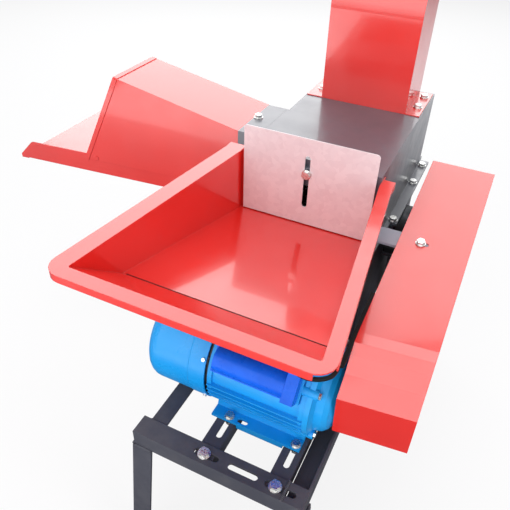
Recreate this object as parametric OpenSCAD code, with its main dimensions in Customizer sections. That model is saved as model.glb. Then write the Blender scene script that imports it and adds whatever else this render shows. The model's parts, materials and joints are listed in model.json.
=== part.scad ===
// Fodder chopper: a knife disc and a swing-hammer mill on one rotor shaft, driven by two V-belts
// from a single-phase motor on the same angle-iron stand.
// X runs along the shafts, Y away from the grain hopper and Z up.
// The origin is on the floor, in the middle of the four anchor holes.

/* [Stand] */
// Width over the stand's outer faces
frame_w = 311; // [305:1:330]
// Length over the stand's outer faces
frame_l = 820; // [814:1:850]
// Height of the stand's top face above the floor
frame_h = 380; // [340:1:440]
// Leg of the angle that the rails are made of
rail_leg = 36; // [34:1:38]
// Thickness of the rail angle
rail_t = 4; // [3:0.5:5]
// Leg of the angle that the four legs are cut from
leg_angle = 38; // [34:1:44]
// Lean of the four legs, outwards both ways
leg_splay = 4; // [0:0.5:6]
// Side of each square foot plate
foot_size = 60; // [56:1:76]
// Thickness of the foot plates
foot_t = 6; // [4:1:10]
// Radius of the anchor hole in each foot plate
anchor_r = 6; // [5:0.5:7]

/* [Motor] */
// Distance from the casing's front to the motor shaft
motor_ahead = 204; // [198:1:210]
// Height of the motor shaft above its feet
motor_h = 90; // [88:1:96]
// Distance between the foot holes along the shaft
foot_b = 125; // [123:1:127]
// Distance between the foot holes across the shaft
foot_a = 140; // [136:1:144]
// Radius over the motor's cooling ribs
motor_r = 88; // [86:0.5:88.5]
// Radius of the motor's plain shell under the ribs
shell_r = 80; // [78:0.5:82]
// Radius of the motor's shaft end
shaft_end_r = 12; // [11:0.5:12]
// Outer radius of the fan cover
fan_cover_r = 87; // [86:0.5:88]

/* [Rotor] */
// Distance from the casing's front to the rotor shaft
rotor_behind = 200; // [198:1:202]
// Height of the rotor shaft above the stand
rotor_up = 175; // [174.5:0.5:177]
// Radius of the rotor shaft in its bearings
shaft_r = 12.5; // [11:0.5:13]
// Radius of the knife disc
disc_r = 158; // [150:1:160]
// Radius at which the hammer pins sit
pin_ring_r = 95; // [92:1:96]
// Radius of a hammer pin
pin_r = 6; // [5:0.5:7]
// Reach of a hammer from its pin to its tip
hammer_reach = 68; // [60:1:69]
// Inner radius of the half-round screen
screen_r = 168; // [167:0.5:168]
// Radius of the holes in the screen
screen_hole_r = 5; // [3:0.5:6]

/* [Casing] */
// Width of the casing
case_w = 242; // [238:1:244]
// Length of the casing
case_l = 400; // [396:1:402]
// Height of the casing's top above the stand
case_h = 374; // [366:1:390]
// Height of the joint between the casing's halves above the stand
split_h = 215; // [213:1:222]
// Thickness of the casing plate
case_t = 3; // [2.5:0.5:3]
// Thickness of all the red sheet
sheet_t = 2; // [1.5:0.25:2.5]

/* [Hopper and gate] */
// Distance from the gate to the hopper's front edge
hopper_l = 392; // [370:1:400]
// Half of the hopper's width at its front edge
hopper_half = 174.5; // [168:0.5:182]
// Height of the hopper's rim above the stand
rim_h = 366; // [356:1:372]
// Width of the folded rim
rim_w = 21; // [16:1:24]
// Depth of the turned-down edge of the rim
rim_drop = 12; // [8:1:14]
// Height of the hopper's floor at the gate above the stand
floor_h = 250; // [248:1:256]
// Rise of the hopper's floor from the gate to its front bend
floor_rise = 45; // [36:1:52]
// Width of the gate plate
gate_w = 238; // [226:1:240]
// Height of the gate plate
gate_h = 165; // [161:1:172]
// Thickness of the gate plate
gate_t = 2; // [1.5:0.25:3]
// Length of the gate's slot
slot_l = 99; // [92:1:103]
// Radius of the gate bolt
gate_bolt_r = 4; // [3.5:0.25:4.5]

/* [Grass tray and hood] */
// Reach of the tray beyond the inlet collar
tray_l = 580; // [520:1:610]
// Fall of the tray's floor over that reach
tray_fall = 42; // [30:1:54]
// Height of the tray's side walls
tray_wall = 42; // [38:1:48]
// Width of the tray at the collar
tray_w = 134; // [128:1:136]
// Width of the tray at its outer edge
tray_out_w = 310; // [270:1:330]
// Reach of the hood's top beyond the collar
hood_l = 274; // [250:1:290]
// Rise of the hood's top over that reach
hood_rise = 49; // [30:1:60]

/* [Chute] */
// Width of the chute
chute_w = 174; // [164:1:176]
// Depth of the chute
chute_d = 127; // [115:1:128]
// Height of the chute's straight part above the casing
chute_h = 176; // [150:1:220]
// Inner radius of the chute's bend
chute_bend = 40; // [32:1:60]
// Length of the flap on the chute's mouth
flap_l = 150; // [120:1:180]
// Radius of the flap's hinge pin
flap_pin_r = 4; // [3.5:0.25:5]

/* [Belt drive] */
// Pitch radius of the two pulleys
pulley_r = 41; // [40:0.5:42]
// Distance between the two belts
belt_gap = 15; // [15:0.25:16]
// Place of the belts along the shafts
belt_x = 183; // [182:1:185]
// Width of the belt guard
guard_w = 119; // [100:1:125]

/* [Power cord] */
// Radius of the power cord
cord_r = 3.5; // [3:0.25:3.5]
// Loops in the coil of spare cord
coil_loops = 6; // [4:2:8]

/* [Hidden] */
$fn = 48;

// clearances: bolts in their holes, hinge and shaft fits, hammers beside their spacers
bolt_gap = 0.5;
fit_gap = 0.05;
side_gap = 0.6;
belt_clear = 0.45;

// stand
half_w = frame_w / 2;
half_l = frame_l / 2;
top = frame_h;
under = top - rail_t;
rail_low = top - rail_leg;
// outer corner of a leg, at its top and where it meets its foot
leg_top = [half_w + 3, half_l + 1.5];
leg_run = (rail_low - foot_t) * tan(leg_splay);
leg_foot = leg_top + [leg_run, leg_run / cos(leg_splay)];
anchor_inset = 19;
anchor = leg_foot - [anchor_inset, anchor_inset];
foot_edge = 5;
weld_r = 3;
// the left rail is a lighter angle under the others' flanges
left_inset = 13.5;
left_leg = 30;
left_face = -half_w + left_inset;
left_low = under - left_leg;
left_bolt_z = under - left_leg / 2;
pedestal_x = half_w - 24;
right_leg_in = half_w - rail_t;
// the casing stands on the cross rail and just short of the rear rail
rear_gap = 9;
cross_back = half_l - rail_leg - rear_gap - case_l;
motor_y = cross_back - motor_ahead;
rotor_y = cross_back + rotor_behind;
cross_y = [cross_back - rail_leg, cross_back];

// bolts are drawn from the radius of their thread
m8 = 4;
m10 = 5;
m8_hole = m8 + bolt_gap;
m10_hole = m10 + bolt_gap;
head_high = 1.3;
head_wide = 1.85;
washer_wide = 2.2;
washer_t = 1.6;
nut_high = 1.6;
thread_out = 3;

// slide rails under the motor
slide_w = 34;
slide_off = 20;
slide_low = rail_low + rail_t;
slide_front = -half_l + rail_t + 2;
slide_back = cross_back - rail_t - 2;
motor_left = -22.5;
motor_right = motor_left + foot_b;
motor_mid = (motor_left + motor_right) / 2;
slide_x = [motor_left - slide_off, motor_right - slide_off + 2];
slide_bolt_x = [motor_left - 3, motor_right];
front_bolt_y = -half_l + 17;
cross_bolt_y = cross_back - 20;
rail_slots = [
  [motor_left - 21, motor_left + 24], [motor_mid - 21, motor_mid + 32],
  [motor_right - 17.5, motor_right + 35.5]
];
cross_slot_half = 16;
foot_slot_half = 6;
motor_slot_l = 60;
motor_slot_shift = 14;

// motor
motor_z = under + motor_h;
foot_y = [motor_y - foot_a / 2, motor_y + foot_a / 2];
body_x = [-58, 112];
drive_x = 152;
shoulder_x = 158.5;
shaft_end_x = shoulder_x + 50;
fan_end_x = -180;
fan_end_round = 22;
fan_cover_t = 1.5;
rim_step = 1;
bearing_out_r = 26;
motor_core_r = 12.5;
motor_core_gap = 0.5;
rotor_core_r = 45;
rib_t = 2.4;
rib_step = 7.5;
screw_r = 3;
tie_angles = [38, 142, 218, 322];
tie_r = shell_r;
cover_angles = [30, 150, 210, 330];
drive_bearing_x = [134, 149];
fan_bearing_x = [-84, -69];
foot_x = [-54, body_x[1]];
foot_plate_t = 5;
foot_reach = 9;
cap_angle = 38;
cap_r = 24;
cap_x = [-44, 78];
cap_box_x = [78, 98];
pad_x = [32, 108];
pad_y = [motor_y - 34, motor_y + 34];
pad_z = motor_z + motor_r + 2;
box_h = 34;
lid_t = 5;
gland_x = 86;
gland_z = pad_z + 19;
gland_y = pad_y[0];
gland_nut = 12;
gland_taper = 22;

// rotor and casing
rotor_z = top + rotor_up;
case_x = -10.5;
case_left = case_x - case_w / 2;
case_right = case_x + case_w / 2;
case_front = cross_back;
case_back = case_front + case_l;
case_top = top + case_h;
split_z = top + split_h;
in_left = case_left + case_t;
in_right = case_right - case_t;
lip = 20;
casing_tabs = [[-100, -60], [25, 65]];
foot_tab = 33;
part_x = [in_left + 55, in_left + 58];
part_cut_r = screen_r - 4;
disc_x = [in_left + 20, in_left + 28];
knife_t = 6;
knife_gap = 1;
knife_face = disc_x[0] - knife_t;
plate_r = 120;
plate_t = 6;
plate_x = [part_x[1] + 3, part_x[1] + 71, part_x[1] + 139];
bore_clear = 4;
ledge_w = 20;
screen_t = 2;
screen_z = rotor_z - 1;
screen_flange = 26;
hub_r = 24;
shaft_x = [-172, 204];
step_x = 152;
pulley_bore_r = shaft_r - 0.5;
hammer_t = 5;
hammer_w = 40;
hammer_set = [14, 46];
pin_angles = [45, 135, 225, 315];

// bearings
bearing_h = 36.5;
bearing_w = 34;
bearing_r = 35;
bearing_l = 140;
bearing_bolt_l = 105;
bearing_x = [case_left - 19, case_right + 19];
seat_z = rotor_z - bearing_h;
seat_t = 6;
leg_plate_t = 4;
leg_plate_l = 76;
pedestal_bolt = 24;

// hopper and gate
gate_y = [case_front - 9 - gate_t, case_front - 9];
// the pan is wider than the casing, so its left tail stands on a spacer
tail_spacer = 7.8;
hopper_in = [case_left - tail_spacer, case_right];
hopper_x = (hopper_in[0] + hopper_in[1]) / 2;
inner_half = (hopper_in[1] - hopper_in[0]) / 2;
left_rim = 10;
floor_z = top + floor_h;
floor_bend_y = gate_y[0] - 303;
rim_z = top + rim_h;
hopper_front = gate_y[0] - hopper_l;
tail_back = case_front + 20;
rim_back = case_front + 10;
lip_end = hopper_x + hopper_half - 3;
corner_free = 5;
tail_z = [floor_z + 20, floor_z + 105];
tail_bolt_z = [floor_z + 42, floor_z + 88];
tail_bolt_y = case_front + 12;
gate_z = [floor_z + 2, floor_z + 2 + gate_h];
slot_x = hopper_x;
slot_top = gate_z[1] - 31;
gate_bolt_z = slot_top - 34;
gate_round = 6;
guide_x = inner_half - 21;
feed_hole_h = 72;

// inlet side: collar, tray and hood
collar_x = case_left - 41;
inlet_z = split_z + case_t;
collar_y = [case_front + 41, case_front + 175];
tray_y = collar_y[0] + case_t;
tray_end = collar_x - tray_l;
hem_w = 20;
hood_top = [collar_x, case_top - case_t];
hood_tip = [collar_x - hood_l, case_top - case_t + hood_rise];
hood_toe = [collar_x - 380, inlet_z + 4];
hood_y = [tray_y - sheet_t, tray_y + tray_w];
hood_lap = 13;
hem_t = 1.5;
hood_hem = 10;
tray_rim = 8;
tongue_y = [collar_y[0] + case_t + 3, collar_y[1] - case_t - 3];
collar_bolt = [collar_x + 8, collar_y[0] + 70];
wall_bolt = [collar_x + 14, inlet_z + 26];
rivet_x = [collar_x - 347, collar_x - 72];
rivet_r = 2.5;

// chute
chute_x = [case_x - chute_w / 2 + 4, case_x + chute_w / 2 + 4];
chute_y = [case_back - 136, case_back - 136 + chute_d];
bend_y = chute_y[1] + chute_bend;
bend_z = case_top + chute_h;
bend_r = chute_bend + chute_d;
bend_end = 80;
chute_flange = [32.5, 28];
chute_bolt_x = [chute_x[0] - 14, chute_x[1] + 15];
chute_bolt_y = [chute_y[0] + 42, chute_y[0] + 100];
flap_pin_in = 7;
flap_turn = 82;
flap_clear = 0.7;
flap_plate_off = 10;

// belts and their guard
groove_depth = 6;
belt_out = 3;
belt_in = 5;
belt_top_half = 6.2;
belt_low_half = 4;
pulley_x = [belt_x - 20, belt_x + 20];
guard_in = 154;
guard_x = [guard_in, guard_in + guard_w];
// the guard's top and bottom lines, its rounded back, and its nose about the motor's axis
guard_top = [[motor_y, motor_z + 128.8], [rotor_y + 61, rotor_z + 118.5]];
guard_low = [[motor_y + 24, motor_z - 68], [rotor_y + 40, rotor_z - 67]];
guard_back = [
  [rotor_y + 85, rotor_z - 35], [rotor_y + 85, rotor_z + 88],
  [rotor_y + 80, rotor_z + 103], [rotor_y + 72, rotor_z + 113]
];
guard_nose = [
  [-60, 55], [-53, -32.5], [-23, -64], [24, -68], [600, -117], [600, 333],
  [14, 131.3], [-4, 125], [-16, 110], [-31.5, 82]
];
// the nose's bends run a little askew, so it is turned about the top line's normal
nose_skew = 5.76;
guard_slope = atan2(guard_top[1][1] - guard_top[0][1], guard_top[1][0] - guard_top[0][0]);
low_slope = atan2(guard_low[1][1] - guard_low[0][1], guard_low[1][0] - guard_low[0][0]);
bracket_t = 5;
bracket_y = [case_front + 7, case_front + 43.5];
bracket_bolt = [191, case_front + 26];
stay_y = [motor_y + 89, motor_y + 119];
stay_mid = (stay_y[0] + stay_y[1]) / 2;
rail_bolt_z = top - 12;
stay_bolt_x = 186;

// power cord, from the gland over the motor's end, down through the stand and back along the floor
cord_run = [
  [86, -68, 575], [88, -79, 578], [96, -92, 584], [111, -99, 588], [128, -96, 589],
  [141, -84, 586], [146, -67, 580], [145, -41, 571], [139, -11, 564], [128, 24, 558],
  [112, 61, 550], [94, 91, 536], [78, 114, 510], [68, 129, 470], [63, 136, 420], [60, 139, 350],
  [60, 139, 280], [60, 139, 200], [60, 139, 120], [60, 140, 60], [58, 148, 22], [55, 171, 7],
  [50, 199, 3.5], [42, 269, 3.5], [30, 349, 3.5], [14, 439, 3.5], [2, 529, 3.5], [-2, 609, 3.5],
  [-12, 669, 3.5], [-32, 704, 3.5], [-60, 717, 3.5]
];
cord_points = [for (p = cord_run) p + [0, motor_y, 0]];
coil_mid_r = 38.5;
coil_step = 2 * cord_r + 0.7;
coil_rings = 24;
coil_turns = coil_loops / 2;
coil_in_r = coil_mid_r - coil_step * coil_turns / 2;
coil_out_r = coil_in_r + coil_step * coil_turns;
coil_end = cord_points[len(cord_points) - 1];
coil_at = [coil_end[0] - 2 * cord_r, coil_end[1] + coil_out_r, cord_r];
plug_len = 52;

// geometry helpers
module block(x, y, z) {
  translate([x[0], y[0], z[0]]) cube([x[1] - x[0], y[1] - y[0], z[1] - z[0]]);
}
module post(x, y, z, r) {
  translate([x, y, z[0]]) cylinder(r = r, h = z[1] - z[0]);
}
module bar_x(x, y, z, r) {
  translate([x[0], y, z]) rotate([0, 90, 0]) cylinder(r = r, h = x[1] - x[0]);
}
module bar_y(x, y, z, r) {
  translate([x, y[0], z]) rotate([-90, 0, 0]) cylinder(r = r, h = y[1] - y[0]);
}
// carries a profile drawn in Y and Z along X
module across(x) {
  translate([x[0], 0, 0]) rotate([90, 0, 90]) linear_extrude(x[1] - x[0]) children();
}
// carries a profile drawn in X and Z along Y
module along(y) {
  translate([0, y[1], 0]) rotate([90, 0, 0]) linear_extrude(y[1] - y[0]) children();
}
module up(z) {
  translate([0, 0, z]) children();
}
// turns a shape so that its own Z lies along X, its X along Y and its Y up
module about_x(y, z) {
  translate([0, y, z]) rotate([90, 0, 90]) children();
}
module slot_x(x, y, z, r) {
  block([x[0] + r, x[1] - r], [y - r, y + r], z);
  post(x[0] + r, y, z, r);
  post(x[1] - r, y, z, r);
}
module slot_y(x, y, z, r) {
  block([x - r, x + r], [y[0] + r, y[1] - r], z);
  post(x, y[0] + r, z, r);
  post(x, y[1] - r, z, r);
}
// bolt with washers and nut, head up, that clamps from z = 0 down to -grip
module bolt(r, grip) {
  cylinder(r = r * washer_wide, h = washer_t);
  up(washer_t) cylinder(r = r * head_wide, h = r * head_high, $fn = 6);
  up(-grip - washer_t - r * nut_high - thread_out)
    cylinder(r = r, h = grip + washer_t + r * nut_high + thread_out + washer_t);
  up(-grip - washer_t) cylinder(r = r * washer_wide, h = washer_t);
  up(-grip - washer_t - r * nut_high) cylinder(r = r * head_wide, h = r * nut_high, $fn = 6);
}
// cap screw without a nut
module screw(r, depth) {
  cylinder(r = r * head_wide, h = r * head_high, $fn = 6);
  up(-depth) cylinder(r = r, h = depth);
}
module at_motor() {
  about_x(motor_y, motor_z) children();
}
module at_rotor() {
  about_x(rotor_y, rotor_z) children();
}
// places on the ring of tie screws, and on the ring of the fan cover's screws
module at_ties(x) {
  at_motor() for (a = tie_angles) rotate([0, 0, a]) translate([tie_r, 0, x]) children();
}
module at_cover(r) {
  at_motor() for (a = cover_angles)
    rotate([0, 0, a]) translate([r, 0, body_x[0] - 9]) children();
}
function mid(v) = (v[0] + v[1]) / 2;
function unit(v) = v / norm(v);
function left_of(v) = [-v[1], v[0]];
// moves a corner of an outline that runs counterclockwise inwards by t
function inset_corner(a, p, b, t) =
  let(n = left_of(unit(p - a)), m = left_of(unit(b - p)))
  p + (n + m) * t / (1 + n * m);
function inset(points, t) = [
  for (i = [0 : len(points) - 1])
    inset_corner(points[(i + len(points) - 1) % len(points)], points[i],
      points[(i + 1) % len(points)], t)
];
// points of a rounded corner at p between its neighbours a and b
function rounded(a, p, b, r, steps = 6) =
  let(u = unit(a - p), v = unit(b - p), half = acos(u * v) / 2, c = p + unit(u + v) * r / sin(half),
    s = p + u * r / tan(half) - c, e = p + v * r / tan(half) - c,
    turn = atan2(s[0] * e[1] - s[1] * e[0], s * e))
  [for (i = [0 : steps]) let(w = turn * i / steps)
    c + [s[0] * cos(w) - s[1] * sin(w), s[0] * sin(w) + s[1] * cos(w)]];

// stand
module front_rail() {
  color("#4a4b55")
  difference() {
    union() {
      block([-half_w, right_leg_in], [-half_l, -half_l + rail_leg], [under, top]);
      block([-half_w, right_leg_in], [-half_l, -half_l + rail_t], [rail_low, top]);
    }
    for (x = rail_slots) slot_x(x, front_bolt_y, [under - 1, top + 1], m10_hole);
  }
}
module rear_rail() {
  color("#4a4b55")
  difference() {
    union() {
      block([-half_w, right_leg_in], [half_l - rail_leg, half_l], [under, top]);
      block([-half_w, right_leg_in], [half_l - rail_t, half_l], [rail_low, top]);
    }
    for (x = casing_tabs) post(mid(x), case_back + lip, [under - 1, top + 1], m8_hole);
  }
}
module left_rail() {
  color("#6a6c76")
  difference() {
    union() {
      block([left_face, left_face + left_leg], [-half_l + rail_t, half_l - rail_t], [under - rail_t, under]);
      block([left_face, left_face + rail_t], [-half_l + rail_t, half_l - rail_t], [left_low, under]);
    }
    for (s = [-1, 1])
      bar_x([left_face - 1, left_face + rail_t + 1], rotor_y + s * pedestal_bolt, left_bolt_z, m8_hole);
  }
}
module right_rail() {
  color("#4a4b55")
  difference() {
    union() {
      block([right_leg_in, half_w], [-half_l, half_l], [rail_low, top]);
      block([half_w - rail_leg, half_w], [-half_l + rail_t, half_l - rail_t],
        [rail_low, rail_low + rail_t]);
    }
    for (s = [-1, 1])
      post(pedestal_x, rotor_y + s * pedestal_bolt, [rail_low - 1, rail_low + rail_t + 1], m8_hole);
    bar_x([right_leg_in - 1, half_w + 1], stay_mid, rail_bolt_z, m8_hole);
  }
}
module cross_rail() {
  color("#4a4b55")
  difference() {
    union() {
      block([left_face, right_leg_in], cross_y, [under, top]);
      block([left_face + left_leg, right_leg_in], [cross_back - rail_t, cross_back],
        [rail_low + rail_t, top]);
    }
    for (x = slide_bolt_x)
      slot_x([x - cross_slot_half, x + cross_slot_half], cross_bolt_y, [under - 1, top + 1], m10_hole);
    for (x = casing_tabs) post(mid(x), cross_back - lip, [under - 1, top + 1], m8_hole);
  }
}
module one_leg() {
  intersection() {
    translate([leg_top[0], leg_top[1], rail_low]) rotate([leg_splay, -leg_splay, 0]) {
      block([-leg_angle, 0], [-rail_t, 0], [-2 * rail_low, rail_low]);
      block([-rail_t, 0], [-leg_angle, 0], [-2 * rail_low, rail_low]);
    }
    block([0, 2 * half_w], [0, 2 * half_l], [foot_t, rail_low]);
  }
  difference() {
    block([leg_foot[0] + foot_edge - foot_size, leg_foot[0] + foot_edge],
      [leg_foot[1] + foot_edge - foot_size, leg_foot[1] + foot_edge], [0, foot_t]);
    post(anchor[0], anchor[1], [-1, foot_t + 1], anchor_r);
  }
  bar_x([leg_top[0] - leg_angle + 1, half_w - weld_r], leg_top[1] - 1, rail_low, weld_r);
}
module legs() {
  color("#45464f")
  for (sx = [0, 1], sy = [0, 1]) mirror([sx, 0, 0]) mirror([0, sy, 0]) one_leg();
}
module slide_rails() {
  color("#50525c")
  for (i = [0, 1]) difference() {
    union() {
      block([slide_x[i], slide_x[i] + slide_w], [slide_front, slide_back], [under - rail_t, under]);
      block([slide_x[i] + slide_w - rail_t, slide_x[i] + slide_w], [slide_front, slide_back],
        [slide_low, under]);
    }
    for (y = [front_bolt_y, cross_bolt_y])
      post(slide_bolt_x[i], y, [under - rail_t - 1, under + 1], m10_hole);
    for (s = [-1, 1]) slot_y([motor_left, motor_right][i],
      [motor_y + s * foot_a / 2 - motor_slot_l / 2 - motor_slot_shift,
      motor_y + s * foot_a / 2 + motor_slot_l / 2 - motor_slot_shift],
      [under - rail_t - 1, under + 1], m8_hole + 0.7);
  }
}
module slide_rail_bolts() {
  color("#c9cbd0")
  for (x = slide_bolt_x, y = [front_bolt_y, cross_bolt_y])
    translate([x, y, top]) bolt(m10, 2 * rail_t);
}

// motor
module rib(angle) {
  at_motor() rotate([0, 0, angle]) translate([shell_r - 3, -rib_t / 2, body_x[0] + 1])
    cube([motor_r - shell_r + 3, rib_t, body_x[1] - body_x[0] - 2]);
}
module motor_frame() {
  color("#1a8ade")
  difference() {
    union() {
      bar_x(body_x, motor_y, motor_z, shell_r);
      // ribs leave out the feet, the terminal pad and the capacitor's bed
      for (a = [-22.5 : rib_step : 52.5]) rib(a);
      for (a = [157.5 + rib_step * 3 : rib_step : 202.5]) rib(a);
      for (a = [116 : rib_step : 120]) rib(a);
      // rims that the end shields seat on
      for (x = [body_x[0], body_x[1] - 8]) bar_x([x, x + 8], motor_y, motor_z, shell_r + 4);
      // bosses for the tie screws
      at_ties(body_x[1] - 24) cylinder(r = 8, h = 24);
      block(pad_x, pad_y, [motor_z + shell_r / 2, pad_z]);
      // bed under the capacitor cover
      at_motor() rotate([0, 0, 180 - cap_angle]) translate([shell_r - 12, -cap_r, cap_x[0] - 8])
        cube([motor_r - shell_r + 12, 2 * cap_r, cap_box_x[1] - cap_x[0] + 12]);
      // pressed foot
      across(foot_x) polygon([
        [foot_y[0] - foot_reach, under], [foot_y[1] + foot_reach, under],
        [foot_y[1] + foot_reach, under + foot_plate_t], [foot_y[1] - 14, under + foot_plate_t],
        [foot_y[1] - 26, motor_z - 50], [foot_y[0] + 26, motor_z - 50],
        [foot_y[0] + 14, under + foot_plate_t], [foot_y[0] - foot_reach, under + foot_plate_t]
      ]);
      block([slide_x[0] + slide_w + 3, slide_x[1] - 3],
        [foot_y[0] - foot_reach, foot_y[0] - foot_reach + foot_plate_t], [under - 8, under + 1]);
    }
    bar_x([body_x[0] - 1, body_x[1] + 1], motor_y, motor_z, rotor_core_r + motor_core_gap);
    // hollow of the pressed foot
    across([foot_x[0] - 1, foot_x[1] + 1]) polygon([
      [foot_y[0] + 19, under - 1], [foot_y[1] - 19, under - 1],
      [foot_y[1] - 22, under + 4], [foot_y[0] + 22, under + 4]
    ]);
    for (x = [motor_left, motor_right], y = foot_y)
      post(x, y, [under - 1, under + foot_plate_t + 1], m8_hole);
    for (y = foot_y)
      slot_x([motor_left + 25 - foot_slot_half - m8, motor_left + 25 + foot_slot_half + m8], y,
        [under - 1, under + foot_plate_t + 1], m8_hole);
    at_ties(body_x[1] - 20) cylinder(r = screw_r + bolt_gap, h = 22);
  }
}
// drive end shield, a dished casting with the bearing seat and four lugs
module drive_end_shield() {
  color("#1784d6")
  difference() {
    union() {
      at_motor() rotate_extrude($fn = 96) polygon([
        [motor_core_r + 1.5, drive_x - 3], [motor_core_r + 1.5, drive_x + 5], [46, drive_x + 5],
        [54, drive_x], [64, drive_x - 6], [70, drive_x - 14], [73, drive_x - 26],
        [shell_r + 3, body_x[1] + 9], [shell_r + 5, body_x[1] + 9], [shell_r + 5, body_x[1]],
        [shell_r - 8, body_x[1]], [shell_r - 12, body_x[1] + 9], [66, drive_x - 26],
        [62, drive_x - 16], [54, drive_x - 11], [32, drive_x - 10], [32, drive_bearing_x[0]],
        [bearing_out_r, drive_bearing_x[0]], [bearing_out_r, drive_bearing_x[1]]
      ]);
      at_ties(body_x[1]) cylinder(r = 8, h = 16);
    }
    at_ties(body_x[1] - 1) cylinder(r = screw_r + bolt_gap, h = 18);
  }
}
module fan_end_shield() {
  color("#1b1c20")
  difference() {
    union() {
      at_motor() rotate_extrude($fn = 96) polygon([
        [motor_core_r + 1.5, fan_bearing_x[0] - 3], [34, fan_bearing_x[0] - 3],
        [34, body_x[0] - 9], [shell_r - 8, body_x[0] - 14], [shell_r + 2, body_x[0] - 14],
        [shell_r + 2, body_x[0]], [shell_r - 12, body_x[0]], [34, body_x[0] - 1],
        [bearing_out_r, body_x[0] - 1], [bearing_out_r, fan_bearing_x[0]],
        [motor_core_r + 1.5, fan_bearing_x[0]]
      ]);
      // lugs that carry the fan cover
      at_cover(shell_r - 4) translate([0, -7, -4]) cube([fan_cover_r - shell_r + 2, 14, 11]);
    }
    at_cover(shell_r - 6) rotate([0, 90, 0]) cylinder(r = 2.5, h = 20);
  }
}
// fan cover: a deep drawn cap with a step at its rim and an air grille in its end
module fan_cover() {
  inner = fan_cover_r - fan_cover_t;
  step_end = body_x[0] - 34;
  color("#1c96e6")
  difference() {
    at_motor() rotate_extrude($fn = 96) polygon(concat(
      [[fan_cover_r + rim_step, body_x[0] - 4], [fan_cover_r + rim_step, step_end],
      [fan_cover_r, step_end - 2]],
      rounded([fan_cover_r, step_end], [fan_cover_r, fan_end_x], [0, fan_end_x], fan_end_round),
      [[0, fan_end_x], [0, fan_end_x + fan_cover_t]],
      rounded([0, fan_end_x + fan_cover_t], [inner, fan_end_x + fan_cover_t], [inner, step_end],
        fan_end_round - fan_cover_t),
      [[inner, body_x[0] - 4]]
    ));
    at_motor() for (ring = [1 : 5], i = [0 : 6 * ring - 1]) rotate([0, 0, i * 360 / (6 * ring)])
      translate([ring * 12, 0, fan_end_x - 1]) cylinder(r = 4, h = 4, $fn = 16);
    at_cover(inner - 3) rotate([0, 90, 0]) cylinder(r = 2.5, h = 8);
  }
}
module motor_fan() {
  color("#2a2b2e")
  at_motor() difference() {
    union() {
      up(-140) cylinder(r = 22, h = 44);
      up(-104) cylinder(r = 74, h = 3);
      for (i = [0 : 8]) rotate([0, 0, i * 40]) translate([18, -1.5, -138]) cube([54, 3, 36]);
    }
    up(-141) cylinder(r = motor_core_r - 2, h = 50);
  }
}
module motor_shaft() {
  color("#c4c6ca")
  at_motor() difference() {
    union() {
      up(-144) cylinder(r = motor_core_r - 2, h = 60);
      up(fan_bearing_x[0] - 6)
        cylinder(r = motor_core_r, h = shoulder_x - fan_bearing_x[0] + 6);
      up(body_x[0] + 14) cylinder(r = rotor_core_r, h = body_x[1] - body_x[0] - 28);
      up(shoulder_x - 1) cylinder(r = shaft_end_r, h = shaft_end_x - shoulder_x + 1);
    }
    translate([-4, shaft_end_r - 4, shoulder_x + 6]) cube([8, 6, shaft_end_x - shoulder_x]);
  }
}
module motor_bearings() {
  color("#b8babd")
  at_motor() for (x = [drive_bearing_x, fan_bearing_x]) up(x[0]) difference() {
    cylinder(r = bearing_out_r, h = x[1] - x[0], $fn = 96);
    up(-1) cylinder(r = motor_core_r + fit_gap, h = x[1] - x[0] + 2);
  }
}
// half-round capacitor cover with its end box, on the motor's front shoulder
module capacitor_cover() {
  color("#1060d8")
  at_motor() rotate([0, 0, 180 - cap_angle]) difference() {
    union() {
      translate([motor_r, 0, cap_x[0]]) cylinder(r = cap_r - 2, h = cap_x[1] - cap_x[0]);
      translate([motor_r, -cap_r, cap_box_x[0]])
        cube([cap_r - 3, 2 * cap_r, cap_box_x[1] - cap_box_x[0]]);
      translate([motor_r, -cap_r, cap_x[0] - 6])
        cube([2, 2 * cap_r, cap_box_x[1] - cap_x[0] + 6]);
    }
    translate([0, -2 * cap_r, cap_x[0] - 60]) cube([motor_r, 4 * cap_r, 300]);
  }
}
module terminal_box() {
  color("#1784d6")
  difference() {
    block(pad_x, pad_y, [pad_z, pad_z + box_h]);
    block([pad_x[0] + 3, pad_x[1] - 3], [pad_y[0] + 3, pad_y[1] - 3], [pad_z + 3, pad_z + box_h + 1]);
    bar_y(gland_x, [pad_y[0] - 1, pad_y[0] + 4], gland_z, 6);
  }
}
module terminal_lid() {
  color("#1784d6")
  block([pad_x[0] - 1.5, pad_x[1] + 1.5], [pad_y[0] - 1.5, pad_y[1] + 1.5],
    [pad_z + box_h, pad_z + box_h + lid_t]);
}
module cable_gland() {
  color("#17181a") {
    bar_y(gland_x, [gland_y - 3, gland_y], gland_z, 11);
    translate([gland_x, gland_y - 3, gland_z])
      rotate([90, 0, 0]) cylinder(r = 10, h = gland_nut - 3, $fn = 6);
    translate([gland_x, gland_y - gland_nut, gland_z])
      rotate([90, 0, 0]) cylinder(r1 = 8, r2 = cord_r + 1.2, h = gland_taper);
  }
}
module motor_screws() {
  color("#c9cbd0") {
    at_ties(body_x[1] + 16) screw(screw_r, 34);
    at_cover(fan_cover_r + rim_step) rotate([0, 90, 0]) screw(2, 9);
  }
}
module motor_foot_bolts() {
  color("#c9cbd0")
  for (x = [motor_left, motor_right], y = foot_y)
    translate([x, y, under + foot_plate_t]) bolt(m8, foot_plate_t + rail_t);
}

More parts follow.
